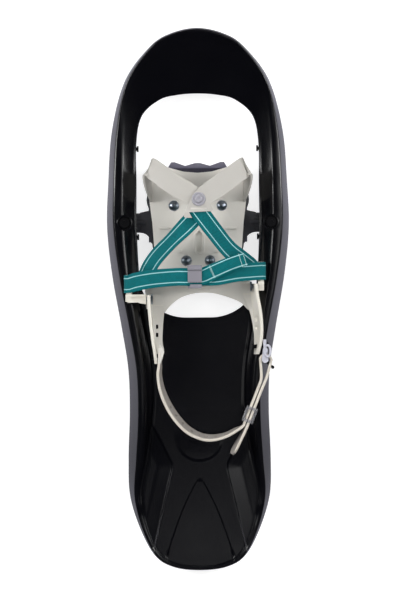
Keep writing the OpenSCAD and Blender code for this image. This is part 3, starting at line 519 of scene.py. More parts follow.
def add_object(name: str, data: bpy.types.ID) -> bpy.types.Object:
    """Links a new object to the scene.

    Args:
        name: its name.
        data: its mesh, lamp or camera.

    Returns:
        The object.
    """
    made = bpy.data.objects.new(name, data)
    bpy.context.scene.collection.objects.link(made)
    return made


def mark(mesh: bpy.types.Mesh, name: str, vectors: np.ndarray) -> None:
    """Writes a vector at each point of a mesh.

    Args:
        mesh: the mesh.
        name: name of the attribute.
        vectors: one row for each point.
    """
    made = mesh.attributes.new(name, "FLOAT_VECTOR", "POINT")
    made.data.foreach_set("vector", np.asarray(vectors, float).ravel())


def finish_mesh(mesh: bpy.types.Mesh, sharp_deg: float = SHARP, outward: bool = True) -> None:
    """Merges doubles, turns faces outwards and smooths all but sharp edges.

    Args:
        mesh: the mesh.
        sharp_deg: edges steeper than this stay sharp.
        outward: whether the normals are recalculated.
    """
    work = bmesh.new()
    work.from_mesh(mesh)
    bmesh.ops.remove_doubles(work, verts=work.verts, dist=SAME_POINT)
    bmesh.ops.dissolve_degenerate(work, edges=work.edges, dist=NO_LENGTH)
    loose = [v for v in work.verts if not v.link_faces]
    bmesh.ops.delete(work, geom=loose, context="VERTS")
    if outward:
        bmesh.ops.recalc_face_normals(work, faces=work.faces)
    work.to_mesh(mesh)
    work.free()
    mesh.shade_smooth()
    mesh.set_sharp_from_angle(angle=math.radians(sharp_deg))
    mesh.update()


def new_piece(name: str, points_mm: np.ndarray, faces: Sequence[Sequence[int]],
              sharp_deg: float = SHARP, lay: Optional[np.ndarray] = None) -> bpy.types.Object:
    """Makes an object from points in millimetres.

    Args:
        name: name of the piece.
        points_mm: its points.
        faces: its faces.
        sharp_deg: edges steeper than this stay sharp.
        lay: place of each point across and along a band, in millimetres.

    Returns:
        The object, linked to the scene.
    """
    mesh = bpy.data.meshes.new(name)
    mesh.from_pydata((np.asarray(points_mm, float) * MM).tolist(), [], faces)
    if lay is not None:
        mark(mesh, "lay", lay)
    finish_mesh(mesh, sharp_deg)
    return add_object(name, mesh)


def new_paths(name: str, paths_mm: Sequence[Rows],
              ups: Optional[np.ndarray] = None) -> bpy.types.Object:
    """Makes an object of open paths for a tree of geometry nodes; a path of one point is a spot.

    Args:
        name: name of the object.
        paths_mm: points of each path in millimetres.
        ups: direction of the surface at each point.

    Returns:
        The object, linked to the scene.
    """
    edges, start = [], 0
    for path in paths_mm:
        edges += [(start + k, start + k + 1) for k in range(len(path) - 1)]
        start += len(path)
    mesh = bpy.data.meshes.new(name)
    mesh.from_pydata((np.vstack(paths_mm).astype(float) * MM).tolist(), edges, [])
    if ups is not None:
        mark(mesh, "up", ups)
    return add_object(name, mesh)


def loft(rings: np.ndarray, closed: bool = False) -> tuple[np.ndarray, list[list[int]]]:
    """Joins rings of points into a tube.

    Args:
        rings: ring, point, coordinate.
        closed: whether the last ring leads back to the first; otherwise the ends are capped.

    Returns:
        Points and faces.
    """
    n, m = rings.shape[:2]
    faces = [[i * m + j, i * m + (j + 1) % m, ((i + 1) % n) * m + (j + 1) % m,
              ((i + 1) % n) * m + j] for i in range(n if closed else n - 1) for j in range(m)]
    if not closed:
        faces += [list(range(m - 1, -1, -1)), list(range((n - 1) * m, n * m))]
    return rings.reshape(-1, 3), faces


def lathe(profile: Rows, centre: Sequence[float],
          turns: int = 48) -> tuple[np.ndarray, list[list[int]]]:
    """Turns a profile of radius and height about an upright axis.

    Args:
        profile: closed outline of radius and height; a radius of 0 is on the axis.
        centre: point on the axis at height 0.
        turns: points round the axis.

    Returns:
        Points and faces.
    """
    angle = np.arange(turns) * 2 * math.pi / turns
    x, y, z = centre
    rings = [[[max(r, AXIS_R) * math.cos(a) + x, max(r, AXIS_R) * math.sin(a) + y, h + z]
              for r, h in profile] for a in angle]
    return loft(np.array(rings), closed=True)


def brick(name: str, low: Sequence[float], high: Sequence[float]) -> bpy.types.Object:
    """Makes a plain box between two corners.

    Args:
        name: name of the box.
        low: its lowest corner.
        high: its highest corner.

    Returns:
        The box.
    """
    corners = [[x, y, z] for x in (low[0], high[0]) for y in (low[1], high[1])
               for z in (low[2], high[2])]
    faces = [[0, 1, 3, 2], [4, 6, 7, 5], [0, 4, 5, 1], [2, 3, 7, 6], [0, 2, 6, 4], [1, 5, 7, 3]]
    return new_piece(name, np.array(corners), faces)


def settle(piece: bpy.types.Object, sharp_deg: Optional[float] = SHARP) -> bpy.types.Object:
    """Turns a piece's modifiers into plain mesh.

    Args:
        piece: the piece.
        sharp_deg: edges steeper than this stay sharp; None keeps the mesh as it comes.

    Returns:
        The same object with its new mesh.
    """
    graph = bpy.context.evaluated_depsgraph_get()
    mesh = bpy.data.meshes.new_from_object(piece.evaluated_get(graph),
                                           preserve_all_data_layers=True, depsgraph=graph)
    piece.modifiers.clear()
    old, piece.data = piece.data, mesh
    bpy.data.meshes.remove(old)
    mesh.name = piece.name
    if sharp_deg is not None:
        finish_mesh(mesh, sharp_deg)
    return piece


def remove(*pieces: bpy.types.Object) -> None:
    """Deletes helper objects with their meshes.

    Args:
        pieces: the objects.
    """
    for piece in pieces:
        mesh = piece.data
        bpy.data.objects.remove(piece)
        bpy.data.meshes.remove(mesh)


def merge_shapes(piece: bpy.types.Object, others: Sequence[bpy.types.Object], how: str) -> None:
    """Joins other solids to a piece, or cuts them from it.

    Args:
        piece: the piece that stays.
        others: solids that are used up.
        how: UNION or DIFFERENCE.
    """
    for other in others:
        cut = piece.modifiers.new("shape", "BOOLEAN")
        cut.operation, cut.object, cut.solver = how, other, "MANIFOLD"
    settle(piece, None)
    remove(*others)


def slice_off(work: bmesh.types.BMesh, at: Sequence[float], normal: Sequence[float]) -> None:
    """Cuts away what lies beyond a plane and closes the cut.

    Args:
        work: the mesh at work.
        at: point on the plane, in metres.
        normal: direction in which everything goes.
    """
    cut = bmesh.ops.bisect_plane(work, geom=work.verts[:] + work.edges[:] + work.faces[:],
                                 dist=NO_LENGTH, plane_co=at, plane_no=normal, clear_outer=True)
    rim = [e for e in cut["geom_cut"] if isinstance(e, bmesh.types.BMEdge)]
    bmesh.ops.holes_fill(work, edges=rim)


def clip_front(piece: bpy.types.Object, y_mm: float) -> None:
    """Cuts a piece square at a place along Y.

    Args:
        piece: the piece.
        y_mm: everything ahead of this goes.
    """
    work = bmesh.new()
    work.from_mesh(piece.data)
    slice_off(work, (0, y_mm * MM, 0), (0, 1, 0))
    work.to_mesh(piece.data)
    work.free()
    finish_mesh(piece.data, SHARP_BAND)


def rounded(piece: bpy.types.Object, width_mm: float, segments: int = 3) -> bpy.types.Object:
    """Rounds a piece's edges, as a mould or a press leaves them.

    Args:
        piece: the piece.
        width_mm: width of the rounding.
        segments: facets of the rounding.

    Returns:
        The same piece.
    """
    bevel = piece.modifiers.new("round", "BEVEL")
    bevel.width, bevel.segments = width_mm * MM, segments
    bevel.limit_method, bevel.angle_limit = "ANGLE", math.radians(ROUND_FROM)
    return settle(piece, SHARP_ROUNDED)


def softened(node: str, width_mm: float, segments: int = 2, name: str = "",
             keep: Optional[tuple[float, float]] = None) -> bpy.types.Object:
    """Copies a solid and rounds its edges.

    Args:
        node: name of the solid.
        width_mm: width of the rounding.
        segments: facets of the rounding.
        name: name of the copy.
        keep: lowest and highest X to keep, in millimetres.

    Returns:
        The copy as a plain mesh.
    """
    flat_deg = 0.6
    work = bmesh.new()
    work.from_mesh(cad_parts[node].data)
    bmesh.ops.remove_doubles(work, verts=work.verts, dist=SAME_POINT)
    for sign, at in zip((-1, 1), keep or ()):
        slice_off(work, (at * MM, 0, 0), (sign, 0, 0))
    bmesh.ops.dissolve_limit(work, angle_limit=math.radians(flat_deg), verts=work.verts,
                             edges=work.edges)
    mesh = bpy.data.meshes.new(name or node + "_piece")
    work.to_mesh(mesh)
    work.free()
    return rounded(add_object(mesh.name, mesh), width_mm, segments)


def fit(piece: bpy.types.Object, body: Body, finish: Finish, slot: Slot, *nodes: str) -> None:
    """Gives a finished piece its material and body, and hides the solids that it stands for.

    Args:
        piece: the piece.
        body: body that carries it.
        finish: its surface.
        slot: its slot in the record; not used.
        nodes: solids that it replaces.
    """
    piece.data.materials.clear()
    piece.data.materials.append(finish.material())
    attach(piece, body.value)
    if nodes:
        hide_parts(*nodes)
    LOG.info("%s rides on %s, %d faces", piece.name, body.value, len(piece.data.polygons))


def paint(finish: Finish, *nodes: str) -> None:
    """Puts a finish on solids that stay as they are.

    Args:
        finish: the surface.
        nodes: names of the solids.
    """
    for node in nodes:
        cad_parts[node].data.materials.clear()
        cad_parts[node].data.materials.append(finish.material())
        LOG.info("%s stays, in %s", node, finish.name)


# Geometry node trees


def new_tree(name: str, inputs: dict[str, str],
             output: str) -> tuple[bpy.types.NodeTree, bpy.types.NodeOutputs]:
    """Starts a tree of geometry nodes with named sockets.

    Args:
        name: name of the tree.
        inputs: socket name to its kind.
        output: name of the geometry that comes out.

    Returns:
        The tree and what its inputs give.
    """
    made = bpy.data.node_groups.new(name, "GeometryNodeTree")
    for socket, kind in {**inputs, "Finish": "Material"}.items():
        made.interface.new_socket(name=socket, in_out="INPUT", socket_type="NodeSocket" + kind)
    made.interface.new_socket(name=output, in_out="OUTPUT", socket_type="NodeSocketGeometry")
    return made, add_node(made, "NodeGroupInput").outputs


def end_tree(tree: bpy.types.NodeTree, shape: bpy.types.NodeSocket,
             finish: bpy.types.NodeSocket) -> None:
    """Ends a tree with real mesh in its finish.

    Args:
        tree: the tree.
        shape: output that gives the shape.
        finish: output that gives the material.
    """
    real = add_node(tree, "GeometryNodeRealizeInstances", links={0: shape})
    dyed = add_node(tree, "GeometryNodeSetMaterial",
                    links={"Geometry": real.outputs[0], "Material": finish})
    add_node(tree, "NodeGroupOutput", links={0: dyed.outputs[0]})


def run_tree(piece: bpy.types.Object, tree: bpy.types.NodeTree, values: dict[str, Any]) -> None:
    """Adds a tree to a piece and sets its inputs by their identifiers.

    Args:
        piece: the piece.
        tree: the tree.
        values: input name to value.
    """
    made = piece.modifiers.new(tree.name, "NODES")
    made.node_group = tree
    for item in tree.interface.items_tree:
        if item.in_out == "INPUT" and item.name in values:
            made[item.identifier] = values[item.name]


@dataclass
class Stitching:
    """Runs of sewn stitches: thread capsules laid end to end along paths on a surface."""

    pitch_mm: float = 1.3
    long_mm: float = 1.5
    thread_mm: float = 0.55
    swing_deg: float = 25.0

    def tree(self) -> bpy.types.NodeTree:
        """Builds the tree: path to curve, even points, turned capsules, real mesh.

        Returns:
            The tree, with named inputs for its sizes.
        """
        made, given = new_tree("sewn_stitches", {
            "Path": "Geometry", "Pitch": "Float", "Length": "Float", "Thread": "Float",
            "Swing": "Float"}, "Stitches")
        curve = add_node(made, "GeometryNodeMeshToCurve", links={"Mesh": given["Path"]})
        even = add_node(made, "GeometryNodeResampleCurve",
                        links={"Curve": curve.outputs[0], "Length": given["Pitch"]},
                        mode="LENGTH")
        tangent = add_node(made, "GeometryNodeInputTangent")
        up = add_node(made, "GeometryNodeInputNamedAttribute", {"Name": "up"},
                      data_type="FLOAT_VECTOR")
        turn = add_node(made, "FunctionNodeAlignRotationToVector",
                        links={"Vector": tangent.outputs[0]}, axis="X")
        turn = add_node(made, "FunctionNodeAlignRotationToVector",
                        links={"Rotation": turn.outputs[0], "Vector": up.outputs[0]},
                        axis="Z", pivot_axis="X")
        # every other stitch leans the other way
        number = add_node(made, "GeometryNodeInputIndex")
        other = add_node(made, "ShaderNodeMath", {1: 2.0}, {0: number.outputs[0]},
                         operation="MODULO")
        sign = add_node(made, "ShaderNodeMath", {1: 2.0, 2: -1.0}, {0: other.outputs[0]},
                        operation="MULTIPLY_ADD")
        swing = add_node(made, "ShaderNodeMath", links={0: sign.outputs[0], 1: given["Swing"]},
                         operation="MULTIPLY")
        spin = add_node(made, "FunctionNodeAxisAngleToRotation", {"Axis": (0.0, 0.0, 1.0)},
                        {"Angle": swing.outputs[0]})
        turn = add_node(made, "FunctionNodeRotateRotation",
                        links={0: turn.outputs[0], 1: spin.outputs[0]}, rotation_space="LOCAL")
        ball = add_node(made, "GeometryNodeMeshUVSphere",
                        {"Segments": 8, "Rings": 5, "Radius": 0.5})
        size = add_node(made, "ShaderNodeCombineXYZ",
                        links={0: given["Length"], 1: given["Thread"], 2: given["Thread"]})
        capsule = add_node(made, "GeometryNodeTransform",
                           links={"Geometry": ball.outputs["Mesh"], "Scale": size.outputs[0]})
        smooth = add_node(made, "GeometryNodeSetShadeSmooth", links={0: capsule.outputs[0]})
        spread = add_node(made, "GeometryNodeInstanceOnPoints",
                          links={"Points": even.outputs[0], "Instance": smooth.outputs[0],
                                 "Rotation": turn.outputs[0]})
        end_tree(made, spread.outputs[0], given["Finish"])
        return made

    def sew(self, name: str, paths: Sequence[tuple[np.ndarray, np.ndarray]],
            finish: Finish) -> bpy.types.Object:
        """Sews along paths.

        Args:
            name: name of the piece.
            paths: points in millimetres and the surface's direction at each.
            finish: surface of the thread.

        Returns:
            The stitches as one plain mesh.
        """
        piece = new_paths(name, [p for p, _ in paths], np.vstack([u for _, u in paths]))
        run_tree(piece, self.tree(), {
            "Pitch": self.pitch_mm * MM, "Length": self.long_mm * MM,
            "Thread": self.thread_mm * MM, "Swing": math.radians(self.swing_deg),
            "Finish": finish.material()})
        return settle(piece, None)


@dataclass
class Perforation:
    """Round holes punched through a band at marked spots."""

    radius_mm: float = 2.0
    depth_mm: float = 14.0

    def tree(self) -> bpy.types.NodeTree:
        """Builds the tree: a punch on each spot, cut from the band.

        Returns:
            The tree, with named inputs for its sizes.
        """
        made, given = new_tree("punched_holes", {
            "Band": "Geometry", "Spots": "Object", "Radius": "Float", "Depth": "Float"}, "Punched")
        spots = add_node(made, "GeometryNodeObjectInfo", links={"Object": given["Spots"]})
        up = add_node(made, "GeometryNodeInputNamedAttribute", {"Name": "up"},
                      data_type="FLOAT_VECTOR")
        turn = add_node(made, "FunctionNodeAlignRotationToVector",
                        links={"Vector": up.outputs[0]}, axis="Z")
        punch = add_node(made, "GeometryNodeMeshCylinder", {"Vertices": 24},
                         {"Radius": given["Radius"], "Depth": given["Depth"]})
        spread = add_node(made, "GeometryNodeInstanceOnPoints",
                          links={"Points": spots.outputs["Geometry"],
                                 "Instance": punch.outputs["Mesh"], "Rotation": turn.outputs[0]})
        tools = add_node(made, "GeometryNodeRealizeInstances", links={0: spread.outputs[0]})
        cut = add_node(made, "GeometryNodeMeshBoolean",
                       links={"Mesh 1": given["Band"], "Mesh 2": tools.outputs[0]},
                       operation="DIFFERENCE", solver="EXACT")
        end_tree(made, cut.outputs["Mesh"], given["Finish"])
        return made

    def punch(self, band: bpy.types.Object, spots_mm: np.ndarray, ups: np.ndarray,
              finish: Finish) -> None:
        """Punches a band.

        Args:
            band: the band.
            spots_mm: middles of the holes.
            ups: axes of the holes.
            finish: surface of the band.
        """
        marks = new_paths("hole_marks", [spot[None] for spot in spots_mm], ups)
        run_tree(band, self.tree(), {
            "Spots": marks, "Radius": self.radius_mm * MM, "Depth": self.depth_mm * MM,
            "Finish": finish.material()})
        settle(band)
        remove(marks)


@dataclass
class GripBars:
    """Moulded bars under the tail, round bars swept along short paths."""

    width_mm: float = 5.0

    def tree(self) -> bpy.types.NodeTree:
        """Builds the tree: paths to curves, a round section swept along them.

        Returns:
            The tree, with named inputs for its sizes.
        """
        made, given = new_tree("swept_bars", {"Paths": "Geometry", "Width": "Float"}, "Bars")
        curve = add_node(made, "GeometryNodeMeshToCurve", links={"Mesh": given["Paths"]})
        half = add_node(made, "ShaderNodeMath", {1: 0.5}, {0: given["Width"]},
                        operation="MULTIPLY")
        ring = add_node(made, "GeometryNodeCurvePrimitiveCircle", {"Resolution": 16},
                        {"Radius": half.outputs[0]})
        swept = add_node(made, "GeometryNodeCurveToMesh", {"Fill Caps": True},
                         {"Curve": curve.outputs[0], "Profile Curve": ring.outputs["Curve"]})
        end_tree(made, swept.outputs[0], given["Finish"])
        return made

    def sweep(self, name: str, paths_mm: Sequence[Rows], finish: Finish) -> bpy.types.Object:
        """Sweeps bars along straight paths.

        Args:
            name: name of the piece.
            paths_mm: points of each path.
            finish: surface of the bars.

        Returns:
            The bars as one plain mesh.
        """
        piece = new_paths(name, paths_mm)
        run_tree(piece, self.tree(), {"Width": self.width_mm * MM, "Finish": finish.material()})
        return settle(piece)


# Bands


@dataclass
class Band:
    """A flat strap with rounded edges.

    It lies along rows of x, y, z, side x, side y, side z and width.
    """

    name: str
    rows: Rows
    thick: float
    steps: int = 8
    round_mm: float = 0.6
    columns: int = 8
    thread_lift: float = 0.05

    def frames(self) -> tuple[np.ndarray, ...]:
        """Follows the band.

        Returns:
            Points, side and up directions, widths and the run along the band.
        """
        line = curve_through(self.rows, self.steps)
        spots = line[:, :3]
        ends = np.vstack([spots[:1], spots, spots[-1:]])
        along = unit(ends[2:] - ends[:-2])
        side = unit(line[:, 3:6])
        side = unit(side - along * (side * along).sum(1, keepdims=True))
        return spots, side, np.cross(along, side), line[:, 6], run_along(spots)

    def piece(self) -> bpy.types.Object:
        """Builds the band.

        Returns:
            Its mesh, with the lay for the weave.
        """
        spots, side, up, width, run = self.frames()
        flat = np.linspace(-1, 1, self.columns + 1)
        turn = np.radians([0.0, 30.0, 60.0, 90.0])
        # the section as shares of half width and half thickness, and of the corner's radius
        ring = []
        for quarter, (cx, cy) in enumerate(((1, 1), (-1, 1), (-1, -1), (1, -1))):
            angles = turn + quarter / 2 * math.pi
            ring += [(cx, cy, math.cos(a), math.sin(a)) for a in angles]
            if cx == cy:
                ring += [(-cy * f, cy, 0.0, float(cy)) for f in flat[1:-1]]
        share = np.array(ring)
        r = min(self.round_mm, self.thick / 2)
        across = share[None, :, 0] * (width[:, None] / 2 - r) + share[None, :, 2] * r
        rise = share[None, :, 1] * (self.thick / 2 - r) + share[None, :, 3] * r
        rise = np.broadcast_to(rise, across.shape)
        rings = spots[:, None] + side[:, None] * across[..., None] + up[:, None] * rise[..., None]
        lay = np.stack([across, np.broadcast_to(run[:, None], across.shape), rise], -1)
        return new_piece(self.name, *loft(rings), SHARP_BAND, lay.reshape(-1, 3))

    def cross_line(self, run_mm: float, half_mm: float,
                   count: int = 24) -> tuple[np.ndarray, np.ndarray]:
        """Crosses the band's upper face.

        Args:
            run_mm: place along the band.
            half_mm: half of the line's length.
            count: points on the line.

        Returns:
            Points and the face's direction at each.
        """
        spots, side, up, _, run = self.frames()
        centre, across, over = (np.array([np.interp(run_mm, run, rows[:, k]) for k in range(3)])
                                for rows in (spots, side, up))
        reach = np.linspace(-half_mm, half_mm, count)[:, None]
        points = centre + across * reach + over * (self.thick / 2 + self.thread_lift)
        return points, np.repeat(unit(over)[None], count, 0)


# Sub-assemblies


@dataclass
class Deck:
    """The moulded deck: rails lofted round the outline, tail floor with its forms, bolt towers."""

    half_w: float = 103.0
    half_waist: float = 79.0
    half_hip: float = 81.0
    half_open: float = 69.0
    nose_y: float = 305.0
    open_front: float = 232.5
    rear_y: float = -19.5
    corner: float = 55.0
    edge_z: float = 14.0
    rail: float = 24.0
    wall: float = 3.0
    floor_rise: float = 8.0
    floor_thick: float = 3.5
    tail_slope_deg: float = 1.0
    lift_from: float = 140.0
    toe_lift: float = 42.0
    pivot_y: float = 87.5
    bolt_x: float = 82.5
    bore_r: float = 3.2
    bore_foot: float = 15.0
    cap_r: float = 6.6
    tower_wall: float = 2.4
    tower_foot: float = 24.0
    # room round the bolt's cap, and how deep the cap sits in its tower
    seat_gap: float = 0.7
    seat_deep: float = 3.0
    # the cross strap's way through the inner wall: half width, lowest and highest point
    way_half: float = 12.2
    way_z: tuple[float, float] = (7.8, 26.4)
    # the tail's forms: how far each stands up or in, and how wide its edge is
    panel: tuple[float, float] = (2.0, 2.4)
    pad: tuple[float, float] = (0.8, 1.6)
    arrow: tuple[float, float] = (-1.4, 1.1)
    # the pad's rear arc and its middle, from the tail's end; half width; where and how it fades
    pad_r: float = 26.0
    pad_from_tail: float = 150.0
    pad_half: float = 37.0
    pad_fade: tuple[float, float] = (-160.0, 26.0)
    # the floor falls away beside the panel: slope, start and reach
    side_fall: tuple[float, float, float] = (0.13, 1.5, 14.0)
    # the floor's edge dips under the walls: depth, place and width
    edge_dip: tuple[float, float, float] = (0.35, 2.5, 3.0)
    # share of the wall that the floor's edge runs into, and distance of its rows
    floor_bite: float = 0.7
    row_mm: float = 1.5
    # behind the rails the forms run on over the rim: place from the tail's end, and width
    run_on: tuple[float, float] = (68.0, 14.0)
    # lines across the heel bed where mould inserts meet: places, half width and depth
    mould_lines: tuple[float, float] = (-75.5, -125.0)
    mould_line: tuple[float, float] = (0.9, 0.04)
    grip_rows: tuple[float, ...] = (-80, -125, -170, -215)
    grip_half: float = 32.0
    grip_point: float = 12.4
    grip_drop: float = 2.4
    # points from one section to the next, and columns between the lines of the floor
    steps: int = 24
    spread: tuple[int, ...] = (8, 3, 3, 24, 8, 12)

    def sections(self) -> np.ndarray:
        """Draws the sections round the deck.

        Returns:
            Outer and inner plan point, rise of the edge, the crest and the inner rim, skirt, and
            the crest's span, for each section.
        """
        w, waist, hip, o, n = (self.half_w, self.half_waist, self.half_hip, self.half_open,
                               self.nose_y)
        rail, fl, ft = self.rail, self.floor_rise, self.floor_thick
        f, p, r = self.open_front, self.pivot_y, self.rear_y
        # outer x and y, inner x and y, edge, crest, inner rim, skirt, crest from and to
        half = [
            [0, n, 0, f, 0, 6, 8, 3, 0.014, 0.12],
            [0.291 * w, n - 6, 0.32 * o, f - 1.5, 0, 6.6, 8, 3, 0.016, 0.13],
            [0.515 * w, n - 20.5, 0.615 * o, f - 6.8, 0, 8, 8, 3, 0.02, 0.14],
            [0.786 * w, n - 57, 0.9 * o, f - 24.3, 0, 14, 9, 5, 0.075, 0.31],
            [0.937 * w, n - 112, o - 0.3, f - 54, 0, rail - 4, 11, 10, 0.18, 0.49],
            [0.985 * w, p + 44, o, p + 44, 0, rail, 13, 12, 0.19, 0.51],
            [w, p - 6, o, p - 6, 0, rail, 13, 12, 0.21, 0.53],
            [w - 5.5, p - 60, o - 3, p - 64, 0, rail, 11, 8, 0.26, 0.56],
            [waist + 8.5, r - 10.5, waist - 21.5, r - 10.5, 0, rail, fl, ft, 0.29, 0.58],
            [waist + 1.3, r - 58, waist - 28.5, r - 58, 0, rail - 1, fl + 1, ft, 0.31, 0.58],
            [waist, 180 - n, waist - 29, 180 - n, 0, rail - 3, fl + 1.8, ft, 0.33, 0.6],
            [hip - 0.2, 125 - n, hip - 22.5, 127 - n, 1, rail - 7, fl + 2.8, ft, 0.39, 0.66],
            [hip - 2, 83 - n, hip - 15, 87 - n, 2.5, rail - 10.1, fl + 3.4, ft, 0.36, 0.62],
            [hip - 15, 43 - n, hip - 22, 48 - n, 5, rail - 11.5, fl + 4.2, ft, 0.2, 0.6],
            [hip - 31, 15.5 - n, hip - 35.5, 20.5 - n, 7, rail - 11.1, fl + 4.6, ft, 0.07, 0.6],
            [hip - 52, 3.4 - n, hip - 55.5, 8.9 - n, 7.8, rail - 10.9, fl + 4.8, ft, 0.06, 0.6],
            [0, -n, 0, 5.5 - n, 8, rail - 10.8, fl + 4.9, ft, 0.06, 0.6]]
        back = [[-s[0], s[1], -s[2], *s[3:]] for s in half[-2:0:-1]]
        return curve_through(half + back, self.steps, closed=True)

    def lift(self, y: np.ndarray) -> np.ndarray:
        """Gives the rise of the nose at a place along the deck."""
        t = np.maximum(y - self.lift_from, 0) / (self.nose_y - self.lift_from)
        return self.toe_lift * t * t

    def bed(self, y: float | np.ndarray) -> float | np.ndarray:
        """Gives the height of the tail's plain floor at a place along the deck."""
        slope = math.tan(math.radians(self.tail_slope_deg))
        return self.edge_z + self.floor_rise + (self.rear_y - y) * slope

    def rim(self, s: np.ndarray) -> np.ndarray:
        """Rounds the corners of one section.

        Args:
            s: values of the section.

        Returns:
            Points of the section, in order round it.
        """
        ox, oy, ix, iy, edge, crest, inner, skirt, f1, f2 = s
        run = math.hypot(ix - ox, iy - oy)
        # a wall takes at most a quarter of a narrow section, and the inner lip an eighth
        t = min(self.wall / run, 0.25)
        lip = min(2.4 / run, 0.12)
        # the inner wall sags a little half way down from the crest
        mid, sag = (f2 + 1.06) / 2, (crest + inner) / 2 - 0.6
        # the outer wall keeps its lean up to the crest, and the hollow below it its corner
        top = f1 * (crest - edge) / max(crest - 1.4 - edge, 1.0)
        under = min(max(f1 + 0.09, 2.2 / run), f2 - 0.03)
        tail = skirt <= self.floor_thick + 1e-6
        # share of the way in, height, radius of the corner and points on it
        corners = [
            (0, edge, 0.8, 2), (top + 0.012, crest, 2.2, 4), (f2 + 0.015, crest, 1.6, 4),
            (mid, sag, 6.0, 3), (1 - lip, inner + 0.25, 4.0, 4),
            (1, inner, 0.05 if tail else 0.8, 3), (1, inner - skirt, 0.05 if tail else 0.6, 2),
            (1 - t, inner - skirt, 0, 1), (1 - t, inner - self.wall + 0.1, 0, 1),
            (mid - 0.02, sag - self.wall, 0, 1), (f2 - 0.02, crest - self.wall, 0, 1),
            (under, crest - self.wall, 0, 1), (1.3 * t, edge, 0, 1)]
        flat = np.array([(f * run, h) for f, h, _, _ in corners])
        points = []
        for k, (_, _, radius, count) in enumerate(corners):
            here, before, after = flat[k], flat[k - 1], flat[(k + 1) % len(flat)]
            if count == 1:
                points.append(here)
                continue
            a, b = (here + v * min(radius, 0.45 * np.linalg.norm(v)) / max(np.linalg.norm(v), 1e-6)
                    for v in (before - here, after - here))
            points += [(1 - u) ** 2 * a + 2 * u * (1 - u) * here + u * u * b
                       for u in np.linspace(0, 1, count)]
        line = np.array(points)
        share = line[:, 0] / run
        x, y = ox + (ix - ox) * share, oy + (iy - oy) * share
        return np.stack([x, y, self.edge_z + self.lift(y) + line[:, 1]], 1)

    def forms(self) -> tuple[list[list[float]], list[list[float]]]:
        """Draws half of the tail's raised panel and half of its sunk arrow.

        Returns:
            Corners of the panel and of the arrow, each from front to rear.
        """
        n, r, hip = self.nose_y, self.rear_y, self.half_hip
        panel = [[0, r + 60], [75, r + 60], [75, 185 - n], [self.half_waist - 28, 160 - n],
                 [hip - 49.5, 121 - n], [hip - 49.5, 115 - n], [hip - 19.7, -14 - n],
                 [0, -14 - n]]
        arrow = [[0, 102.6 - n], [2.4, 101.8 - n], [5, 98.5 - n], [12.5, 84 - n],
                 [18.5, 71.5 - n], [24, 57.6 - n], [32.4, 34 - n], [46.3, -13.5 - n],
                 [0, -13.5 - n]]
        return panel, arrow

    def relief(self, x: np.ndarray, y: np.ndarray) -> np.ndarray:
        """Gives the height of the tail's forms over its floor.

        Args:
            x: places across the deck.
            y: places along it.

        Returns:
            Heights in millimetres.
        """
        n, r, half = self.nose_y, self.rear_y, self.pad_half
        panel, arrow = (mirrored(corners) for corners in self.forms())
        arc = [[self.pad_r * math.cos(a), self.pad_from_tail - n + self.pad_r * math.sin(a)]
               for a in np.radians(np.linspace(-6.5, -173.5, 40))]
        pad = [[-half, r - 20], [half, r - 20], [half, r - 40]] + arc + [[-half, r - 40]]
        spots = np.stack([x.ravel(), y.ravel()], 1)
        soft = ramp(spots[:, 1] - self.pad_fade[0], self.pad_fade[1])
        within, sunk = inside(spots, panel), inside(spots, arrow)
        slope, start, reach = self.side_fall
        high = self.panel[0] * ramp(within, self.panel[1])
        high = high - slope * np.clip(-start - within, 0, reach)
        high += self.pad[0] * (1 - soft) * ramp(inside(spots, pad), self.pad[1])
        high += self.arrow[0] * ramp(sunk, self.arrow[1])
        wide, deep = self.mould_line
        for line in self.mould_lines:
            high -= deep * np.exp(-((spots[:, 1] - line) / wide) ** 2)
        return high.reshape(x.shape)

    def columns(self, y: float, gap: float, width: float) -> np.ndarray:
        """Spaces one row of the floor, so that lines of the mesh run along the forms' edges.

        Args:
            y: place of the row along the deck.
            gap: half of the opening in this row, or 0 behind the opening.
            width: half of the floor's width in this row.

        Returns:
            Places across the right half, from the middle outwards.
        """
        panel, arrow = self.forms()
        crease, leg = (float(np.interp(-y, [-c[1] for c in half], [c[0] for c in half]))
                       for half in (panel[1:7], arrow[:8]))
        apex, least = arrow[0][1], 2.5
        if not gap:
            ahead = np.interp(y, [apex, self.rear_y], [least, self.half_open - self.corner])
            gap = min(max(leg, least) if y < apex else float(ahead), 0.7 * width)
        # narrow columns on both sides of the opening's or arrow's edge and of the panel's edge
        room = width - gap
        near, bend, least_room = min(0.9, 0.1 * room), min(1.3, 0.12 * room), 0.06 * room
        crease = max(crease, gap + near + bend + least_room)
        crease = min(crease, width - bend - least_room)
        knots = [0, gap - near, gap, gap + near, crease - bend, crease + bend, width]
        parts = [np.linspace(a, b, count + 1)[:-1]
                 for a, b, count in zip(knots, knots[1:], self.spread)]
        return np.concatenate([*parts, [width]])

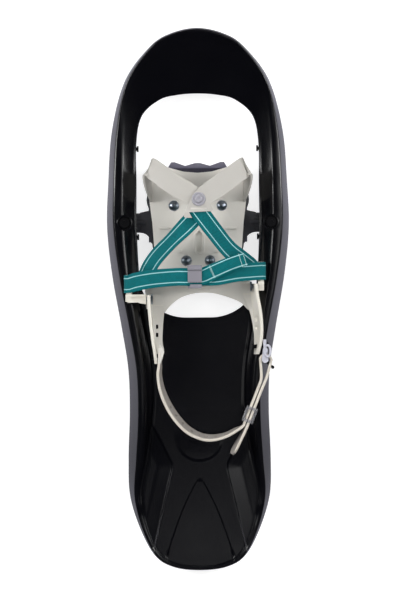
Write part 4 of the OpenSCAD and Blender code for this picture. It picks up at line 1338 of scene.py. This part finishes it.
    def floor_rows(self) -> tuple[list[tuple[float, float, float]], int]:
        """Places the rows of the tail floor, first beside the opening's corners, then behind it.

        Returns:
            Place, half of the opening and half width of each row, and the count beside the corners.
        """
        at = self.sections()[7 * self.steps:16 * self.steps]
        run = np.hypot(at[:, 2] - at[:, 0], at[:, 3] - at[:, 1])
        share = (1 - np.minimum(self.wall * self.floor_bite / run, 0.3))[:, None]
        rim = at[:, :2] + (at[:, 2:4] - at[:, :2]) * share
        angles = np.radians(np.arange(0, 90.1, 2.5))
        arc_x = self.half_open - self.corner + self.corner * np.cos(angles)
        arc_y = self.rear_y + self.corner - self.corner * np.sin(angles)
        side = np.interp(arc_y, rim[::-1, 1], rim[::-1, 0])
        first = int(np.argmax(arc_x < side - 0.6))
        front = list(zip(arc_y[first:], arc_x[first:], side[first:]))
        tail = rim[rim[:, 1] < self.rear_y - 0.8]
        length = run_along(tail)
        step = np.linspace(0, length[-1], int(length[-1] / self.row_mm))
        wide, place = (np.interp(step, length, tail[:, k]) for k in (0, 1))
        return front + [(y, 0.0, w) for w, y in zip(wide, place) if w > 2], len(front)

    def floor(self) -> bpy.types.Object:
        """Builds the tail floor as a slab on rows across the deck.

        Returns:
            The slab, its edges inside the rails' walls.
        """
        rows, fronts = self.floor_rows()
        half = np.array([self.columns(*row) for row in rows])
        x = np.hstack([-half[:, :0:-1], half])
        count, middle = x.shape[1], half.shape[1] - 1
        open_to = sum(self.spread[:2])
        y = np.repeat(np.array([r[0] for r in rows])[:, None], count, 1)
        rest = self.bed(y)
        edge = np.array([r[2] for r in rows])[:, None] - np.abs(x)
        dip, place, width = self.edge_dip
        high = rest + self.relief(x, y) - dip * (1 - ramp(edge - place, width))
        top = np.stack([x, y, high], -1).reshape(-1, 3)
        low = np.stack([x, y, rest - self.floor_thick], -1).reshape(-1, 3)
        faces = []
        for k in range(len(rows) - 1):
            for j in range(count - 1):
                if k < fronts - 1 and middle - open_to <= j < middle + open_to:
                    continue
                a = k * count + j
                faces.append([a, a + 1, a + count + 1, a + count])
        # an edge that only one face uses is on the rim, and gets a wall
        uses = dict.fromkeys(pair for face in faces for pair in zip(face, face[1:] + face[:1]))
        base = len(top)
        walls = [[q, p, p + base, q + base] for p, q in uses if (q, p) not in uses]
        under = [[v + base for v in reversed(face)] for face in faces]
        return new_piece("tail_floor", np.vstack([top, low]), faces + under + walls)

    def build(self) -> bpy.types.Object:
        """Lofts the rails, joins floor and towers, and cuts the holes.

        Returns:
            The deck as one mesh.
        """
        rings = np.array([self.rim(s) for s in self.sections()])
        # the points of each section from the outer wall's top to the inner rim
        top = rings[:, 2:20]
        behind = ramp(self.run_on[0] - self.nose_y - top[..., 1], self.run_on[1])
        top[..., 2] += behind * self.relief(top[..., 0], top[..., 1])
        deck = new_piece("deck_shell", *loft(rings, closed=True))
        crest, low, foot = self.edge_z + self.rail, self.bore_foot, self.tower_foot
        clear, deep = crest + 20, crest - self.seat_deep
        r, seat_r, bore_r = self.cap_r + self.tower_wall, self.cap_r + self.seat_gap, self.bore_r
        tower = [(0, foot), (r, foot), (r, crest + 0.4), (r - 0.3, crest + 1.0),
                 (r - 0.9, crest + 1.2), (0, crest + 1.2)]
        seat = [(0, deep), (seat_r, deep), (seat_r, clear), (0, clear)]
        bore = [(0, low), (bore_r, low), (bore_r, crest), (0, crest)]
        (z0, z1), y0, y1 = self.way_z, self.pivot_y - self.way_half, self.pivot_y + self.way_half
        adds, cuts = [self.floor()], []
        for sign, _ in SIDES:
            spot = (sign * self.bolt_x, self.pivot_y, 0)
            adds.append(new_piece("tower", *lathe(tower, spot)))
            cuts.append(new_piece("seat", *lathe(seat, spot)))
            cuts.append(new_piece("bore", *lathe(bore, spot, 32)))
            x0, x1 = sorted((sign * (self.half_open - 6), sign * (self.half_open + self.wall + 4)))
            cuts.append(brick("way", (x0, y0, z0), (x1, y1, z1)))
        merge_shapes(deck, adds, "UNION")
        merge_shapes(deck, cuts, "DIFFERENCE")
        finish_mesh(deck.data, sharp_deg=42.0, outward=False)
        return deck

    def grips(self) -> bpy.types.Object:
        """Sweeps the arrow-shaped bars under the tail.

        Returns:
            The bars as one mesh.
        """
        half, tip = self.grip_half, self.grip_point
        paths = [[(x, at, self.bed(at) - self.floor_thick - self.grip_drop)
                  for x, at in ((-half, y), (0, y + tip), (half, y))] for y in self.grip_rows]
        return GripBars().sweep("tail_grip_bars", paths, DECK_BLACK)

    def dress(self) -> None:
        """Puts the deck, its bars and the traction rails in place."""
        fit(self.build(), Body.DECK, DECK_BLACK, Slot.DECK, "deck")
        fit(self.grips(), Body.DECK, DECK_BLACK, Slot.DECK)
        paint(BLACKENED, "strap_bolts", "rail_screws", "deck_rivets")
        paint(ZINC, "strap_nuts", "rail_nuts")
        for _, side in SIDES:
            node = side + "_traction_rail"
            blade = softened(node, width_mm=0.3, name=side + "_blade")
            fit(blade, Body.DECK, COATED, Slot.STEEL, node)


@dataclass
class CrossStrap:
    """The rubber strap across the opening: a pad under the plate and two ribbed bands."""

    half_split: float = 65.5
    half_end: float = 88.3
    overlap: float = 2.5
    width: float = 22.0
    thick: float = 3.6
    edge_r: float = 1.2
    bead_r: float = 3.0
    bead_end: float = 72.0
    bead_fade: float = 3.0
    rib_mm: float = 3.9
    rib_deep: float = 0.15
    rib_flat: float = 1.6
    centre: tuple[float, float] = (87.5, 21.6)

    def band(self, sign: int, side: str) -> bpy.types.Object:
        """Builds one side's band.

        Args:
            sign: -1 for the left side, 1 for the right.
            side: the side's name.

        Returns:
            The band, from under the plate's edge to behind the rail bolt.
        """
        y = np.linspace(-self.width / 2, self.width / 2, 81)
        edge = np.clip((self.width / 2 - np.abs(y)) / self.edge_r, 0, 1)
        ribs = np.clip(np.cos(2 * math.pi * y / self.rib_mm) * self.rib_flat, -1, 1)
        body = self.thick / 2 - self.rib_deep + self.rib_deep * ribs
        body = body * np.sqrt(1 - (1 - edge) ** 2)
        rings = []
        for x in np.linspace(self.half_split - self.overlap, self.half_end, 44):
            fade = np.clip((self.bead_end - x) / self.bead_fade, 0, 1)
            high = np.maximum(body, np.sqrt(np.maximum(self.bead_r ** 2 - y * y, 0)) * fade)
            top, low = (np.stack([np.full_like(y, sign * x), y + self.centre[0],
                                  self.centre[1] + way * high], 1) for way in (1, -1))
            rings.append(np.vstack([top, low[::-1][1:-1]]))
        return new_piece(side + "_strap_band", *loft(np.array(rings)), sharp_deg=45.0)

    def dress(self) -> None:
        """Puts pad and bands in place; the pad rides on the binding, the bands on no body."""
        pad = softened("pivot_strap", width_mm=0.8, name="strap_pad",
                       keep=(-self.half_split, self.half_split))
        fit(pad, Body.BINDING, RUBBER, Slot.ELASTOMER, "pivot_strap")
        for sign, side in SIDES:
            band = self.band(sign, side)
            band.data.materials.append(RUBBER.material())
            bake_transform(band)
            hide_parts(side + "_strap_end")
            LOG.info("%s twists between binding and deck", band.name)


@dataclass
class Binding:
    """Foot plate, crampon, toe flaps, heel arms and guides, with their fasteners."""

    plate_top: float = 27.4
    over_z: float = 79.3
    flap_z: float = 76.4
    flap_thick: float = 2.6
    rivet: tuple[float, float] = (1.0, 112.5)
    # rows of the heel arms: y, wall foot x, foot over the plate, lean, height, flange
    left_arm: Rows = ((6, 56.5, 0.1, 1, 30, 12), (-8, 56, 0.7, 1, 31, 14),
                      (-26, 54.8, 5, 0.6, 31, 11.4), (-46, 52.5, 9.5, 0.4, 28.5, 8.2),
                      (-58, 50.8, 12.3, 0.3, 25.5, 8), (-71, 49.4, 14, 0.2, 20, 0.6))
    right_arm: Rows = ((18, 61.5, 0.1, 5, 30, 10), (4, 62.5, 0.8, 5.5, 31, 8.5),
                       (-14, 64.5, 6, 6.5, 30, 3.4), (-34, 66, 13, 6.2, 26, 1),
                       (-48, 66.6, 18, 4.4, 20, 1), (-61, 66, 22, 1.6, 13, 0.8))
    arm_wall: float = 3.4
    flange_thick: float = 3.0
    leg_thick: float = 3.1
    # how far the grey sheet stands proud of the flange, and how far it runs into the wall
    leg_skin: float = 0.06
    leg_bite: float = 0.4
    slot_rows: tuple[float, float] = (-38.8, -29.6)
    slot_half: float = 2.3
    slot_x: tuple[float, float] = (-48.1, -45.5)

    def flap_rivet(self) -> bpy.types.Object:
        """Turns the rivet with its ringed head and its foot.

        Returns:
            The rivet as one mesh.
        """
        head = self.over_z + self.flap_thick / 2 + 0.1
        foot = self.flap_z - self.flap_thick / 2
        shank = head - foot + 0.2
        top = [(0, -0.1), (7.6, -0.1), (7.8, 0.3), (7.5, 0.95), (6.9, 1.2), (6.1, 1.15),
               (5.6, 0.6), (4.7, 0.6), (4.4, 1.4), (4.1, 2.0), (3.6, 2.35), (2.9, 2.5),
               (2.2, 2.4), (1.9, 2.0), (0, 2.1)]
        low = [(0, -1.6), (5.4, -1.6), (6.0, -1.1), (6.0, -0.1), (2.9, -0.1), (2.9, shank),
               (0, shank)]
        points, faces = lathe(top, (*self.rivet, head))
        more, others = lathe(low, (*self.rivet, foot))
        faces += [[v + len(points) for v in face] for face in others]
        return new_piece("flap_rivet_set", np.vstack([points, more]), faces, sharp_deg=30.0)

    def leg(self, sign: int, side: str) -> bpy.types.Object:
        """Lays a thin sheet in the plate's grey over an arm's cream flange.

        Args:
            sign: -1 for the left side, 1 for the right.
            side: the side's name.

        Returns:
            The sheet as a thin solid, with the left one's two slots.
        """
        rings = []
        for y, wall, z, _, _, flange in curve_through(
                self.left_arm if sign < 0 else self.right_arm, 6):
            foot = wall - self.arm_wall
            inner, outer = sign * (foot - flange - self.leg_skin), sign * (foot + self.leg_bite)
            top = z + self.plate_top + self.flange_thick + self.leg_skin
            low = top - self.leg_thick
            rings.append([[inner, y, low], [outer, y, low], [outer, y, top], [inner, y, top]])
        leg = new_piece(side + "_plate_leg", *loft(np.array(rings)))
        if sign < 0:
            (x0, x1), half = self.slot_x, self.slot_half
            slots = [brick("slot", (x0, y - half, 20), (x1, y + half, 60)) for y in self.slot_rows]
            merge_shapes(leg, slots, "DIFFERENCE")
            finish_mesh(leg.data)
        return leg

    def dress(self) -> None:
        """Puts the rigid pieces of the binding in place."""
        plate = softened("foot_plate", width_mm=0.8, segments=3)
        fit(plate, Body.BINDING, PLATE_GREY, Slot.PLATE, "foot_plate")
        crampon = softened("toe_crampon", width_mm=0.35)
        fit(crampon, Body.BINDING, COATED, Slot.STEEL, "toe_crampon")
        for sign, side in SIDES:
            for node, width, finish, slot in (("_toe_flap", 0.7, FLAP_GREY_PAINTED_SHADE, Slot.PLATE),
                                              ("_heel_arm", 0.9, ARM_CREAM, Slot.ARM),
                                              ("_guide", 0.6, ARM_CREAM, Slot.ARM)):
                piece = softened(side + node, width_mm=width, segments=3)
                fit(piece, Body.BINDING, finish, slot, side + node)
            fit(self.leg(sign, side), Body.BINDING, PLATE_GREY, Slot.PLATE)
        fit(self.flap_rivet(), Body.BINDING, RIVET_GREY, Slot.RIVET, "flap_rivet")
        paint(ZINC, "plate_bolts", "plate_nuts", "guide_bolts")
        paint(BLACKENED, "arm_rivets")


@dataclass
class Webbing:
    """The teal webbing over the toe, round the guides and through the ladder-lock."""

    width: float = 20.0
    thick: float = 1.8
    low_z: float = 76.8
    bar_z: float = 46.4
    wrap_r: float = 4.8
    pivot_y: float = 87.5
    left_bar: tuple[float, float] = (-77.8, 18.6)
    right_bar: tuple[float, float] = (70.0, 32.2)
    lock: tuple[float, float] = (-4.0, 26.0)
    lock_z: float = 65.0
    # the flaps' slot, where both halves end
    slot_y: float = 99.9
    # stitches on the loose end: along it, back from its tip, and half of their length
    tacks: tuple[float, float] = (21.5, 22.6)
    tack_half: float = 6.8
    hem: tuple[float, float] = (1.2, 6.0)
    hem_half: float = 7.0
    # the lock's pressing lip: length, height and rounding, and the groove behind it
    lip: tuple[float, float, float] = (5.3, 0.9, 0.6)
    groove: tuple[float, float] = (0.9, 0.9)

    def wrap(self, bar: tuple[float, float], sign: int) -> list[list[float]]:
        """Goes round a guide bar, from under it to over it.

        Args:
            bar: the bar's x and y.
            sign: -1 for the left side, 1 for the right.

        Returns:
            Rows of the band.
        """
        turn = [math.radians(a) for a in range(0, 181, 45)]
        return [[bar[0] + sign * self.wrap_r * math.sin(a), bar[1],
                 self.bar_z - self.wrap_r * math.cos(a), 0, sign, 0, self.width] for a in turn]

    def left(self) -> Band:
        """Lays the left half: tongue, left guide, lock.

        Returns:
            The band.
        """
        p, w, z, t, bar, lock = (self.pivot_y, self.width, self.low_z, self.thick, self.bar_z,
                                 self.lock_z)
        bx, by, cx, cy = *self.left_bar, *self.lock
        rows = [[4, p + 13.2, z - t - 0.8, 0.72, -0.7, 0, w],
                [-11, p - 2.4, z - t - 3.2, 0.72, -0.7, 0.14, w],
                [-30, p - 21.5, z - 8, 0.72, -0.7, 0.7, w],
                [-46, p - 37.8, z - 18, 0.72, -0.7, 0.6, w],
                [-55.2, by + 18, bar + 7, 0.6, -0.76, 0.45, w],
                [-62.2, by + 5.6, bar - 0.5, 0.22, -0.95, 0.2, w],
                [-69.5, by + 1.5, bar - 4, 0.05, -1, 0, w], *self.wrap(self.left_bar, -1),
                [bx + 9, by + 2.6, bar + 8.5, 0, -1, 0, w + 0.6],
                [-50, cy - 1.8, lock - 6, 0, -1, 0, w + 0.4],
                [-26, cy, lock - 0.4, 0, -1, 0, w], [-16, cy, lock, 0, -1, 0, w],
                [cx - 2, cy, lock, 0, -1, 0, w]]
        return Band("left_web_band", rows, t)

    def right(self) -> Band:
        """Lays the right half: tongue, right guide, under the lock.

        Returns:
            The band.
        """
        p, w, z, t, bar, lock = (self.pivot_y, self.width, self.low_z, self.thick, self.bar_z,
                                 self.lock_z)
        bx, by, cx, cy = *self.right_bar, *self.lock
        rows = [[-6, p + 21.5, z, 0.78, 0.63, 0, w], [6.4, p + 5, z, 0.78, 0.63, 0, w],
                [17.6, p - 10, z - 3.6, 0.77, 0.64, -0.2, w],
                [34, p - 30.5, z - 12, 0.72, 0.69, -0.25, w],
                [47.5, by + 13.9, bar + 9.4, 0.62, 0.78, -0.05, w],
                [57, by + 6.5, bar + 2, 0.4, 0.92, 0, w],
                [63, by + 1.6, bar - 3.6, 0.1, 1, 0, w], *self.wrap(self.right_bar, 1),
                [bx - 8, by - 0.5, bar + 8, 0, 1, 0, w], [42, cy + 4, lock - 4.6, 0, 1, 0, w],
                [22, cy + 0.5, lock - t - 0.6, 0, 1, 0, w],
                [10, cy, lock - t - 0.5, 0, 1, 0, w], [cx - 4, cy, lock - t - 0.5, 0, 1, 0, w]]
        return Band("right_web_band", rows, t)

    def tab(self) -> Band:
        """Lays the loose end that is pulled tight.

        Returns:
            The band.
        """
        cx, cy, z, w = *self.lock, self.lock_z, self.width
        rows = [[cx - 1.5, cy, z, 0, 1, 0, w], [cx + 9, cy + 0.8, z + 0.2, -0.1, 0.99, 0, w - 1],
                [16, cy + 5.6, z + 1.2, -0.3, 0.95, 0, w - 2.5],
                [36, cy + 14.2, z + 1.6, -0.33, 0.94, 0, w - 4],
                [53, cy + 19.8, z, -0.17, 0.98, 0, w - 5]]
        return Band("pull_tab_band", rows, self.thick)

    def lock_piece(self) -> bpy.types.Object:
        """Adds the pressing lip and its groove to the ladder-lock.

        Returns:
            The lock as one mesh.
        """
        lock = softened("ladder_lock", width_mm=0.5, segments=3)
        (x0, _, _), (x1, y1, z1) = (tuple(c / MM for c in corner)
                                    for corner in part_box("ladder_lock"))
        (long, high, edge), (wide, deep), over, sunk = self.lip, self.groove, 0.3, 0.6
        groove = brick("groove", (x0 - 1, y1 - long - wide, z1 - deep), (x1 + 1, y1 - long, z1 + 5))
        merge_shapes(lock, [groove], "DIFFERENCE")
        lip = brick("lip", (x0 - over, y1 - long, z1 - sunk), (x1 + over, y1 + over, z1 + high))
        merge_shapes(lock, [rounded(lip, edge)], "UNION")
        finish_mesh(lock.data, SHARP_ROUNDED, outward=False)
        return lock

    def dress(self) -> None:
        """Puts bands, stitches and lock in place."""
        tab = self.tab()
        for band, node in ((self.left(), "left_webbing"), (self.right(), "right_webbing"),
                           (tab, "pull_tab")):
            piece = band.piece()
            if band is not tab:
                clip_front(piece, self.slot_y)
            fit(piece, Body.BINDING, WEB_TEAL, Slot.WEB, node)
        total = tab.frames()[4][-1]
        lines = [tab.cross_line(run, self.tack_half) for run in self.tacks]
        lines += [tab.cross_line(total - back, self.hem_half) for back in self.hem]
        sewn = Stitching().sew("tab_bar_tacks", lines, THREAD)
        fit(sewn, Body.BINDING, THREAD, Slot.WEB)
        fit(self.lock_piece(), Body.LOCK, LOCK_GREY, Slot.BUCKLE, "ladder_lock")


@dataclass
class HeelLoop:
    """Heel strap with its holes, buckle, peg and keeper."""

    band_mm: float = 16.0
    thick: float = 3.0
    pin: tuple[float, float, float] = (-44.0, -62.0, 55.4)
    seat: float = 0.2
    bar: tuple[float, float] = (74.0, -67.0)
    keep_at: tuple[float, float] = (56.4, -128.5)
    keep_run: tuple[float, float] = (0.370011, 0.929027)
    layer_gap: float = 0.6
    # holes along the back of the heel: first, end and step, in thirds of a row of the strap
    holes: tuple[int, int, int] = (16, 35, 2)
    # the buckle's eye: middle of its rim, half sizes of rim and hole, radius of the rim's bead
    eye: tuple[float, float] = (76.8, -57.4)
    eye_rim: tuple[float, float] = (3.3, 6.3)
    eye_hole: tuple[float, float] = (1.7, 2.6)
    eye_bead: tuple[float, float] = (1.3, 1.2)
    # the hole's place behind the rim's middle, its depth, and the bead's lift over the body
    eye_back: float = 3.2
    eye_deep: float = 4.2
    eye_lift: float = 0.3
    # the keeper: width, length, height, wall at the sides, bridge over the edges and its length
    sleeve: tuple[float, float, float, float] = (13.0, 17.6, 19.8, 2.4)
    bridge: tuple[float, float] = (1.2, 3.4)

    def row(self, x: float, y: float, lean: float, out: tuple[float, float],
            width: float) -> list[float]:
        """Gives one row of the strap, leaning out by an angle in degrees."""
        s, c = math.sin(math.radians(lean)), math.cos(math.radians(lean))
        return [x, y, self.pin[2], out[0] * s, out[1] * s, c, width]

    def kept(self, along: float, side: float) -> list[float]:
        """Gives one row inside or near the keeper, on one of its two layers.

        Args:
            along: place along the keeper.
            side: -1 for the inner layer, 1 for the outer one.

        Returns:
            The row.
        """
        (x, y), (run_x, run_y) = self.keep_at, self.keep_run
        layer = self.thick / 2 + self.layer_gap
        x = x + run_x * along + run_y * side * layer
        y = y + run_y * along - run_x * side * layer
        return self.row(x, y, 0, (1, 0), self.band_mm)

    def strap(self) -> Band:
        """Lays the strap from the left arm round the heel to the buckle bar and back.

        Returns:
            The band.
        """
        x, y, w = self.pin[0] + self.seat, self.pin[1], self.band_mm
        # from the pin round the heel: place, lean in degrees and the way it leans
        rows = [self.row(x, y + 10, 0, (-1, 0), w - 3), self.row(x, y, 0, (-1, 0), w),
                self.row(x, y - 11, 8, (-1, 0), w)]
        rows += [self.row(*row, w) for row in (
            (-44.5, -83.7, 13, (-1, 0)), (-42, -99.2, 17, (-1, -0.2)),
            (-36, -114.8, 20, (-1, -0.5)), (-27, -130, 24, (-0.8, -0.6)),
            (-14.6, -143.9, 24, (-0.6, -0.8)), (-1, -151.8, 21, (-0.3, -0.95)),
            (12.8, -154.6, 19, (0, -1)), (28.2, -151.8, 13, (0.3, -0.95)),
            (40.6, -145.8, 8, (0.6, -0.8)))]
        # through the keeper to the bar, round it, and back on the outer layer
        rows += [self.kept(*at) for at in (
            (-14.5, -1.1), (-10.4, -1), (0, -1), (12, -1), (32, -1), (43, -1.4))]
        for turn, r in ((-25, 5.6), (15, 5.3), (55, 5.2), (95, 5.2), (140, 5.8), (180, 6.8),
                        (205, 6.9)):
            c, s = math.cos(math.radians(turn)), math.sin(math.radians(turn))
            rows.append(self.row(self.bar[0] - r * c, self.bar[1] + r * s, 0, (1, 0), w))
        rows += [self.kept(*at) for at in ((46, 1.1), (30, 1), (12, 1), (0, 1), (-11, 1))]
        # the loose end leans out and comes to a point
        rows += [self.row(47.8, -151, 11, (0.9, -0.4), w - 1),
                 self.row(38.6, -168.2, 20, (0.9, -0.4), w - 3),
                 self.row(36.2, -172.6, 21, (0.9, -0.4), 5)]
        return Band("heel_strap_band", rows, self.thick, round_mm=0.9)

    def end_cap(self) -> bpy.types.Object:
        """Moulds the cap over the strap's end at the left arm.

        Returns:
            The cap, widest beside the pin and pointed behind it.
        """
        x, y, z = self.pin
        # plan from the pin, and half of the height there
        plan = [(-1.8, 13.5, 3.0), (-1.8, 8.0, 7.4), (-1.8, -8.5, 8.4), (1.6, -8.5, 8.4),
                (5.4, 4.2, 8.4), (3.6, 8.8, 7.0), (1.4, 13.5, 3.0)]
        n = len(plan)
        points = [[x + dx, y + dy, z + way * half] for dx, dy, half in plan for way in (-1, 1)]
        faces = [[2 * k, 2 * ((k + 1) % n), 2 * ((k + 1) % n) + 1, 2 * k + 1] for k in range(n)]
        for side in (0, 1):
            faces += [[side + 2 * k for k in part] for part in ((0, 1, 5, 6), (1, 2, 3, 4, 5))]
        return rounded(new_piece("strap_end_cap", np.array(points), faces), width_mm=0.7)

    def buckle(self) -> bpy.types.Object:
        """Adds the eye with its rim to the buckle.

        Returns:
            The buckle as one mesh.
        """
        body = softened("heel_buckle", width_mm=0.6, segments=3)
        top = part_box("heel_buckle")[1][2] / MM
        turn, round_bead = np.radians(np.arange(0, 360, 12)), np.radians(np.arange(0, 360, 30))
        (x, y), (wide, long), (hole_x, hole_y), (bead, high) = (
            self.eye, self.eye_rim, self.eye_hole, self.eye_bead)
        hole = [[[x + hole_x * math.cos(a), y - self.eye_back + hole_y * math.sin(a), h]
                 for a in turn] for h in (top - self.eye_deep, top + 3)]
        merge_shapes(body, [new_piece("eye_hole", *loft(np.array(hole)))], "DIFFERENCE")
        rim = [[[x + (wide + bead * math.cos(b)) * math.cos(a),
                 y + (long + bead * math.cos(b)) * math.sin(a),
                 top + self.eye_lift + high * math.sin(b)] for b in round_bead] for a in turn]
        merge_shapes(body, [new_piece("eye_rim", *loft(np.array(rim), closed=True))], "UNION")
        finish_mesh(body.data, sharp_deg=40.0, outward=False)
        return body

    def keeper(self) -> bpy.types.Object:
        """Makes the sleeve: thick sides along both layers, and bridges over the strap's edges.

        Returns:
            The sleeve round both layers.
        """
        (wide, long, tall, wall), (thin, short) = self.sleeve, self.bridge
        sleeve = brick("keeper_sleeve", (-wide / 2, -long / 2, -tall / 2),
                       (wide / 2, long / 2, tall / 2))
        gap = wide / 2 - wall
        cuts = [brick("bore", (-gap, -long, thin - tall / 2), (gap, long, tall / 2 - thin)),
                brick("window", (-gap, short - long / 2, -tall), (gap, long / 2 - short, tall))]
        merge_shapes(sleeve, cuts, "DIFFERENCE")
        rounded(sleeve, width_mm=0.5)
        turn = math.atan2(self.keep_run[1], self.keep_run[0]) - math.pi / 2
        place = Matrix.Translation((self.keep_at[0] * MM, self.keep_at[1] * MM, self.pin[2] * MM))
        sleeve.data.transform(place @ Matrix.Rotation(turn, 4, "Z"))
        return sleeve

    def dress(self) -> None:
        """Puts strap, cap, buckle, peg and keeper in place."""
        band = self.strap()
        piece = band.piece()
        spots, _, up, _, _ = band.frames()
        marks = [round(k / 3 * band.steps) for k in range(*self.holes)]
        axes, holes = up[marks].copy(), spots[marks].copy()
        axes[:, 2], holes[:, 2] = 0, self.pin[2]
        Perforation().punch(piece, holes, unit(axes), STRAP_CREAM)
        fit(piece, Body.HEEL, STRAP_CREAM, Slot.URETHANE, "heel_strap")
        fit(self.end_cap(), Body.HEEL, PLATE_GREY, Slot.PLATE)
        fit(self.buckle(), Body.HEEL, BUCKLE_WHITE, Slot.ARM, "heel_buckle")
        paint(BLACKENED, "strap_peg")
        fit(self.keeper(), Body.KEEPER, KEEPER_CLEAR, Slot.KEEPER, "strap_keeper")


@dataclass
class Studio:
    """Camera over the deck, soft boxes, world and pale floor."""

    frame_px: tuple[int, int] = (400, 600)
    middle_px: tuple[float, float] = (198.5, 300.1)
    mm_per_px: float = 1.1267
    plane_mm: float = 30.0
    distance_mm: float = 4000.0
    roll_deg: float = -0.42
    sensor_mm: float = 36.0
    room: str = "#6c6f76"
    room_strength: float = 0.15
    table: str = "#b9b9b9"
    table_half: float = 6.0
    table_roughness: float = 0.9
    # what the table shows to the camera and in gloss, and how strongly
    table_seen: str = "#ffffff"
    table_gloss: str = "#cfcde6"
    table_glow: float = 0.75

    def camera(self) -> None:
        """Hangs the camera over the deck, so that the deck fills the frame as photographed."""
        lens = bpy.data.cameras.new("camera")
        lens.sensor_width = self.sensor_mm
        lens.lens = self.sensor_mm * self.distance_mm / (self.frame_px[1] * self.mm_per_px)
        lens.clip_start, lens.clip_end = 0.05, 50.0
        over = add_object("camera", lens)
        over.location = ((self.frame_px[0] / 2 - self.middle_px[0]) * self.mm_per_px * MM,
                         (self.middle_px[1] - self.frame_px[1] / 2) * self.mm_per_px * MM,
                         (self.plane_mm + self.distance_mm) * MM)
        over.rotation_euler = (0.0, 0.0, math.radians(self.roll_deg))
        bpy.context.scene.camera = over

    def soft_box(self, name: str, place: tuple[float, float, float], size: tuple[float, float],
                 watts: float, gloss: bool) -> None:
        """Adds one soft box that faces the deck.

        Args:
            name: name of the lamp.
            place: where it stands, in metres.
            size: width and height of its face in metres.
            watts: its power.
            gloss: whether it shows in gloss.
        """
        lamp = bpy.data.lights.new(name, "AREA")
        lamp.shape = "RECTANGLE"
        lamp.size, lamp.size_y = size
        lamp.energy = watts
        stand = add_object(name, lamp)
        stand.location = place
        stand.visible_glossy = gloss
        stand.rotation_euler = (-Vector(place)).to_track_quat("-Z", "Y").to_euler()

    def light(self) -> None:
        """Sets boxes all round for soft light, strips and high boxes for gloss, and a dim world."""
        for side, place, watts in (("left", (-1.8, 0.55, 1.5), 17.0),
                                   ("right", (1.8, 0.55, 1.5), 14.0),
                                   ("toe", (0.0, 2.0, 1.4), 17.0),
                                   ("heel", (0.0, -1.9, 1.7), 21.0)):
            self.soft_box(side + "_box", place, (1.7, 1.7), watts, False)
        for name, place, size, watts in (
                ("left_strip", (-1.8, 0.46, 1.5), (0.36, 1.5), 22.0),
                ("right_strip", (1.8, 0.46, 1.5), (0.36, 1.5), 19.0),
                ("toe_lamp", (0.0, 2.0, 1.4), (0.45, 0.45), 6.0),
                ("high_right", (0.85, 0.3, 2.6), (0.6, 0.9), 3.6),
                ("tail_top", (0.08, -0.54, 4.5), (0.5, 0.3), 0.55),
                ("high_left", (-1.1, 0.4, 2.6), (0.8, 0.8), 1.0)):
            self.soft_box(name, place, size, watts, True)
        world = bpy.data.worlds.new("studio_room")
        world.use_nodes = True
        sky = world.node_tree.nodes["Background"].inputs
        sky["Color"].default_value = linear(self.room)
        sky["Strength"].default_value = self.room_strength
        bpy.context.scene.world = world

    def floor(self) -> None:
        """Lays the white table, which glows a little for the camera and in reflections."""
        half = self.table_half
        mesh = bpy.data.meshes.new("table")
        mesh.from_pydata([(-half, -half, 0), (half, -half, 0), (half, half, 0), (-half, half, 0)],
                         [], [(0, 1, 2, 3)])
        made = bpy.data.materials.new("white_table")
        made.use_nodes = True
        tree = made.node_tree
        shader = tree.nodes["Principled BSDF"]
        shader.inputs["Base Color"].default_value = linear(self.table)
        shader.inputs["Roughness"].default_value = self.table_roughness
        rays = add_node(tree, "ShaderNodeLightPath").outputs
        seen = rays["Is Camera Ray"]
        for ray in ("Is Glossy Ray", "Is Transmission Ray"):
            seen = add_node(tree, "ShaderNodeMath", links={0: seen, 1: rays[ray]},
                            operation="MAXIMUM").outputs[0]
        glow = add_node(tree, "ShaderNodeMath", {1: self.table_glow}, {0: seen},
                        operation="MULTIPLY")
        cast = add_node(tree, "ShaderNodeMix",
                        {"A": linear(self.table_gloss), "B": linear(self.table_seen)},
                        {"Factor": rays["Is Camera Ray"]}, data_type="RGBA")
        tree.links.new(cast.outputs["Result"], shader.inputs["Emission Color"])
        tree.links.new(glow.outputs[0], shader.inputs["Emission Strength"])
        mesh.materials.append(made)
        add_object("table", mesh)

    def build(self) -> None:
        """Sets up everything round the object."""
        bpy.context.scene.view_settings.view_transform = "Standard"
        self.camera()
        self.light()
        self.floor()
        LOG.info("studio set")


def main() -> None:
    """Builds the studio, then each sub-assembly in turn."""
    logging.basicConfig(level=logging.INFO, format="%(message)s")
    Studio().build()
    for part in (Deck(), CrossStrap(), Binding(), Webbing(), HeelLoop()):
        part.dress()


if __name__ == "__main__":
    main()
